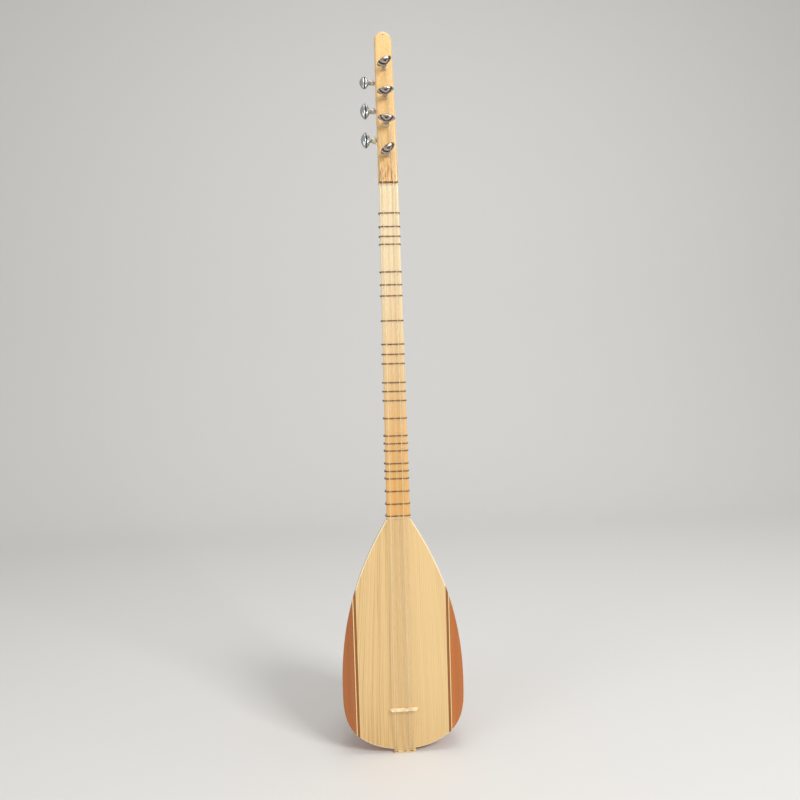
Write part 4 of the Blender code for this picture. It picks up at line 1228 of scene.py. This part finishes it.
class LUTE_OT_pegs(LuteMaker, bpy.types.Operator):
    """Carve the tuning pegs"""

    bl_idname = "lute.make_pegs"
    bl_label = "Pegs"

    def execute(self, context):
        neck, pegs, tones = self.settings(context, "neck", "pegs", "colours")
        # The last figure darkens the cuts as painted shade. The side pegs take a paler, greyer colour and
        # paler cuts as painted reflection.
        front = lacquer("front peg polish", tones.peg, 0.10), (pegs.flutes, pegs.flute_slope, 1.0)
        side_carving = pegs.side_flutes, pegs.side_slope, pegs.side_reach
        side = lacquer("side peg polish with painted reflection", tones.side_peg, 0.25), side_carving
        for node in FRONT_PEGS + SIDE_PEGS:
            place = peg_frame(node, neck)
            up = (head_frame(neck).inverted() @ place.translation).z
            width, depth = head_size(up, neck)
            length = width - GLUE_GAP if node in SIDE_PEGS else depth + pegs.tip_length
            turned = place @ Matrix.Rotation(math.radians(PEG_TURNS[node]), 4, "Z")
            material, carving = side if node in SIDE_PEGS else front
            mesh = peg_skin(length, turned, pegs, carving).mesh(node)
            piece(f"{node}_carved", mesh, material, node, 34.0)
        return {"FINISHED"}


class LUTE_OT_bridge(LuteMaker, bpy.types.Operator):
    """Make the bridge and dress the string holder"""

    bl_idname = "lute.make_bridge"
    bl_label = "Bridge and holder"

    def execute(self, context):
        body, tones = self.settings(context, "body", "colours")
        wood = plain_wood("bridge wood", tones.pale_wood, tones.board_dark, 240, 0.35, gloss=0.3)
        piece("bridge_filed", bridge_skin(body).mesh("bridge"), wood, "bridge", 30.0)
        holder = plain_wood("holder wood", tones.board_light, tones.board_dark, 250, 0.4, gloss=0.34)
        dress("string_holder", holder)
        return {"FINISHED"}


class LUTE_OT_strings(LuteMaker, bpy.types.Operator):
    """Stretch the strings and wind them on their pegs"""

    bl_idname = "lute.make_strings"
    bl_label = "Strings"

    def execute(self, context):
        neck, pegs, strings, tones = self.settings(context, "neck", "pegs", "strings", "colours")
        plain = plain_metal(tones), strings.plain, "plain_string"
        wound = wound_metal(tones), strings.wound, "wound_string"
        for index, node in enumerate(STRINGS):
            material, radius, slot = wound if node.endswith("_wound") else plain
            mesh = string_skin(index, radius, neck, pegs, strings).mesh(node)
            piece(f"{node}_wire", mesh, material, node, 60.0)
        return {"FINISHED"}


class LUTE_OT_stage(LuteMaker, bpy.types.Operator):
    """Set the floor, the lights and the camera"""

    bl_idname = "lute.make_stage"
    bl_label = "Stage"

    def execute(self, context):
        stage, tones = self.settings(context, "stage", "colours")
        self.set_floor(context, tones)
        self.set_lights(context)
        self.set_camera(context, stage)
        return {"FINISHED"}

    def set_floor(self, context, tones):
        """A flat floor, 0.2 mm under the lute, that turns up into a wall along a quarter circle 1 m in
        radius."""
        reach, bend_start, wall_top, under = 30.0, 1.5, 7.0, 0.0002
        turn = np.linspace(0, math.pi / 2, 24)
        flat = np.linspace(-reach, bend_start - 0.1, 10)
        run = np.concatenate((flat, bend_start + np.sin(turn), (bend_start + 1,)))
        rise = np.concatenate((np.zeros_like(flat), 1 - np.cos(turn), (wall_top,)))
        x, y = np.meshgrid((-reach, 0.0, reach), run)
        z = np.broadcast_to(rise[:, None] - under, x.shape)
        points = np.stack((x, y, z), axis=-1).reshape(-1, 3)
        index = np.arange(x.size).reshape(x.shape)
        faces = np.stack((index[:-1, :-1], index[:-1, 1:], index[1:, 1:], index[1:, :-1]), axis=-1)
        mesh = bpy.data.meshes.new("stage sweep")
        mesh.from_pydata(points.tolist(), [], faces.reshape(-1, 4).tolist())
        mesh.shade_smooth()
        mesh.materials.append(studio_floor(tones))
        sweep = bpy.data.objects.new("stage_sweep", mesh)
        context.scene.collection.objects.link(sweep)

    def set_lights(self, context):
        """Three square lights turned to the lute's middle, and a pale sky."""
        middle = Vector((0.0, 0.0, 0.6))
        for name, where, power, width in (
            ("key", (1.7, -2.0, 2.3), 62.0, 1.0), ("fill", (-2.4, -2.0, 1.2), 22.0, 1.8),
            ("top", (0.2, -0.2, 3.0), 22.0, 1.2),
        ):
            lamp = bpy.data.lights.new(name, "AREA")
            lamp.energy = power
            lamp.size = width
            obj = bpy.data.objects.new(name, lamp)
            obj.location = where
            obj.rotation_euler = (middle - Vector(where)).to_track_quat("-Z", "Y").to_euler()
            context.scene.collection.objects.link(obj)
        world = bpy.data.worlds.new("studio")
        world.use_nodes = True
        sky = world.node_tree.nodes["Background"].inputs
        sky["Color"].default_value = (0.95, 0.97, 1.0, 1.0)
        sky["Strength"].default_value = 0.42
        context.scene.world = world
        context.scene.view_settings.view_transform = "Standard"

    def set_camera(self, context, stage):
        """A camera that is turned to the right, dipped, and rolled about its line of sight."""
        lens = bpy.data.cameras.new("camera")
        lens.sensor_width = 36.0
        lens.lens = stage.lens
        camera = bpy.data.objects.new("camera", lens)
        level = math.cos(stage.dip)
        ahead = Vector((math.sin(stage.turn) * level, math.cos(stage.turn) * level, -math.sin(stage.dip)))
        right = Vector((math.cos(stage.turn), -math.sin(stage.turn), 0.0))
        upward = right.cross(ahead)
        side = right * math.cos(stage.roll) + upward * math.sin(stage.roll)
        above = upward * math.cos(stage.roll) - right * math.sin(stage.roll)
        place = (stage.left, -stage.ahead, stage.height)
        camera.matrix_world = Matrix((*zip(side, above, -ahead, place), (0, 0, 0, 1)))
        context.scene.collection.objects.link(camera)
        context.scene.camera = camera


OPERATORS = (
    LUTE_OT_stage, LUTE_OT_bowl, LUTE_OT_soundboard, LUTE_OT_neck, LUTE_OT_frets, LUTE_OT_head,
    LUTE_OT_pegs, LUTE_OT_bridge, LUTE_OT_strings,
)
GROUPS = {
    "lute_body": LuteBodySettings, "lute_neck": LuteNeckSettings, "lute_pegs": LutePegSettings,
    "lute_strings": LuteStringSettings, "lute_colours": LuteColours, "lute_stage": LuteStageSettings,
}


class LUTE_PT_panel(bpy.types.Panel):
    """Sizes, colours and buttons of the lute"""

    bl_idname = "LUTE_PT_panel"
    bl_label = "Long-neck lute"
    bl_space_type = "VIEW_3D"
    bl_region_type = "UI"
    bl_category = "Lute"

    def draw(self, context):
        for name, group in GROUPS.items():
            box = self.layout.box()
            for prop in group.__annotations__:
                box.prop(getattr(context.scene, name), prop)
        for operator in OPERATORS:
            self.layout.operator(operator.bl_idname)


def register():
    for cls in (*GROUPS.values(), *OPERATORS, LUTE_PT_panel):
        bpy.utils.register_class(cls)
    for name, group in GROUPS.items():
        setattr(bpy.types.Scene, name, PointerProperty(type=group))


def unregister():
    for name in GROUPS:
        delattr(bpy.types.Scene, name)
    for cls in reversed((*GROUPS.values(), *OPERATORS, LUTE_PT_panel)):
        bpy.utils.unregister_class(cls)


def main():
    register()
    bpy.ops.lute.make_stage()
    bpy.ops.lute.make_bowl()
    bpy.ops.lute.make_soundboard()
    bpy.ops.lute.make_neck()
    bpy.ops.lute.make_frets()
    bpy.ops.lute.make_head()
    bpy.ops.lute.make_pegs()
    bpy.ops.lute.make_bridge()
    bpy.ops.lute.make_strings()


if __name__ == "__main__":
    main()
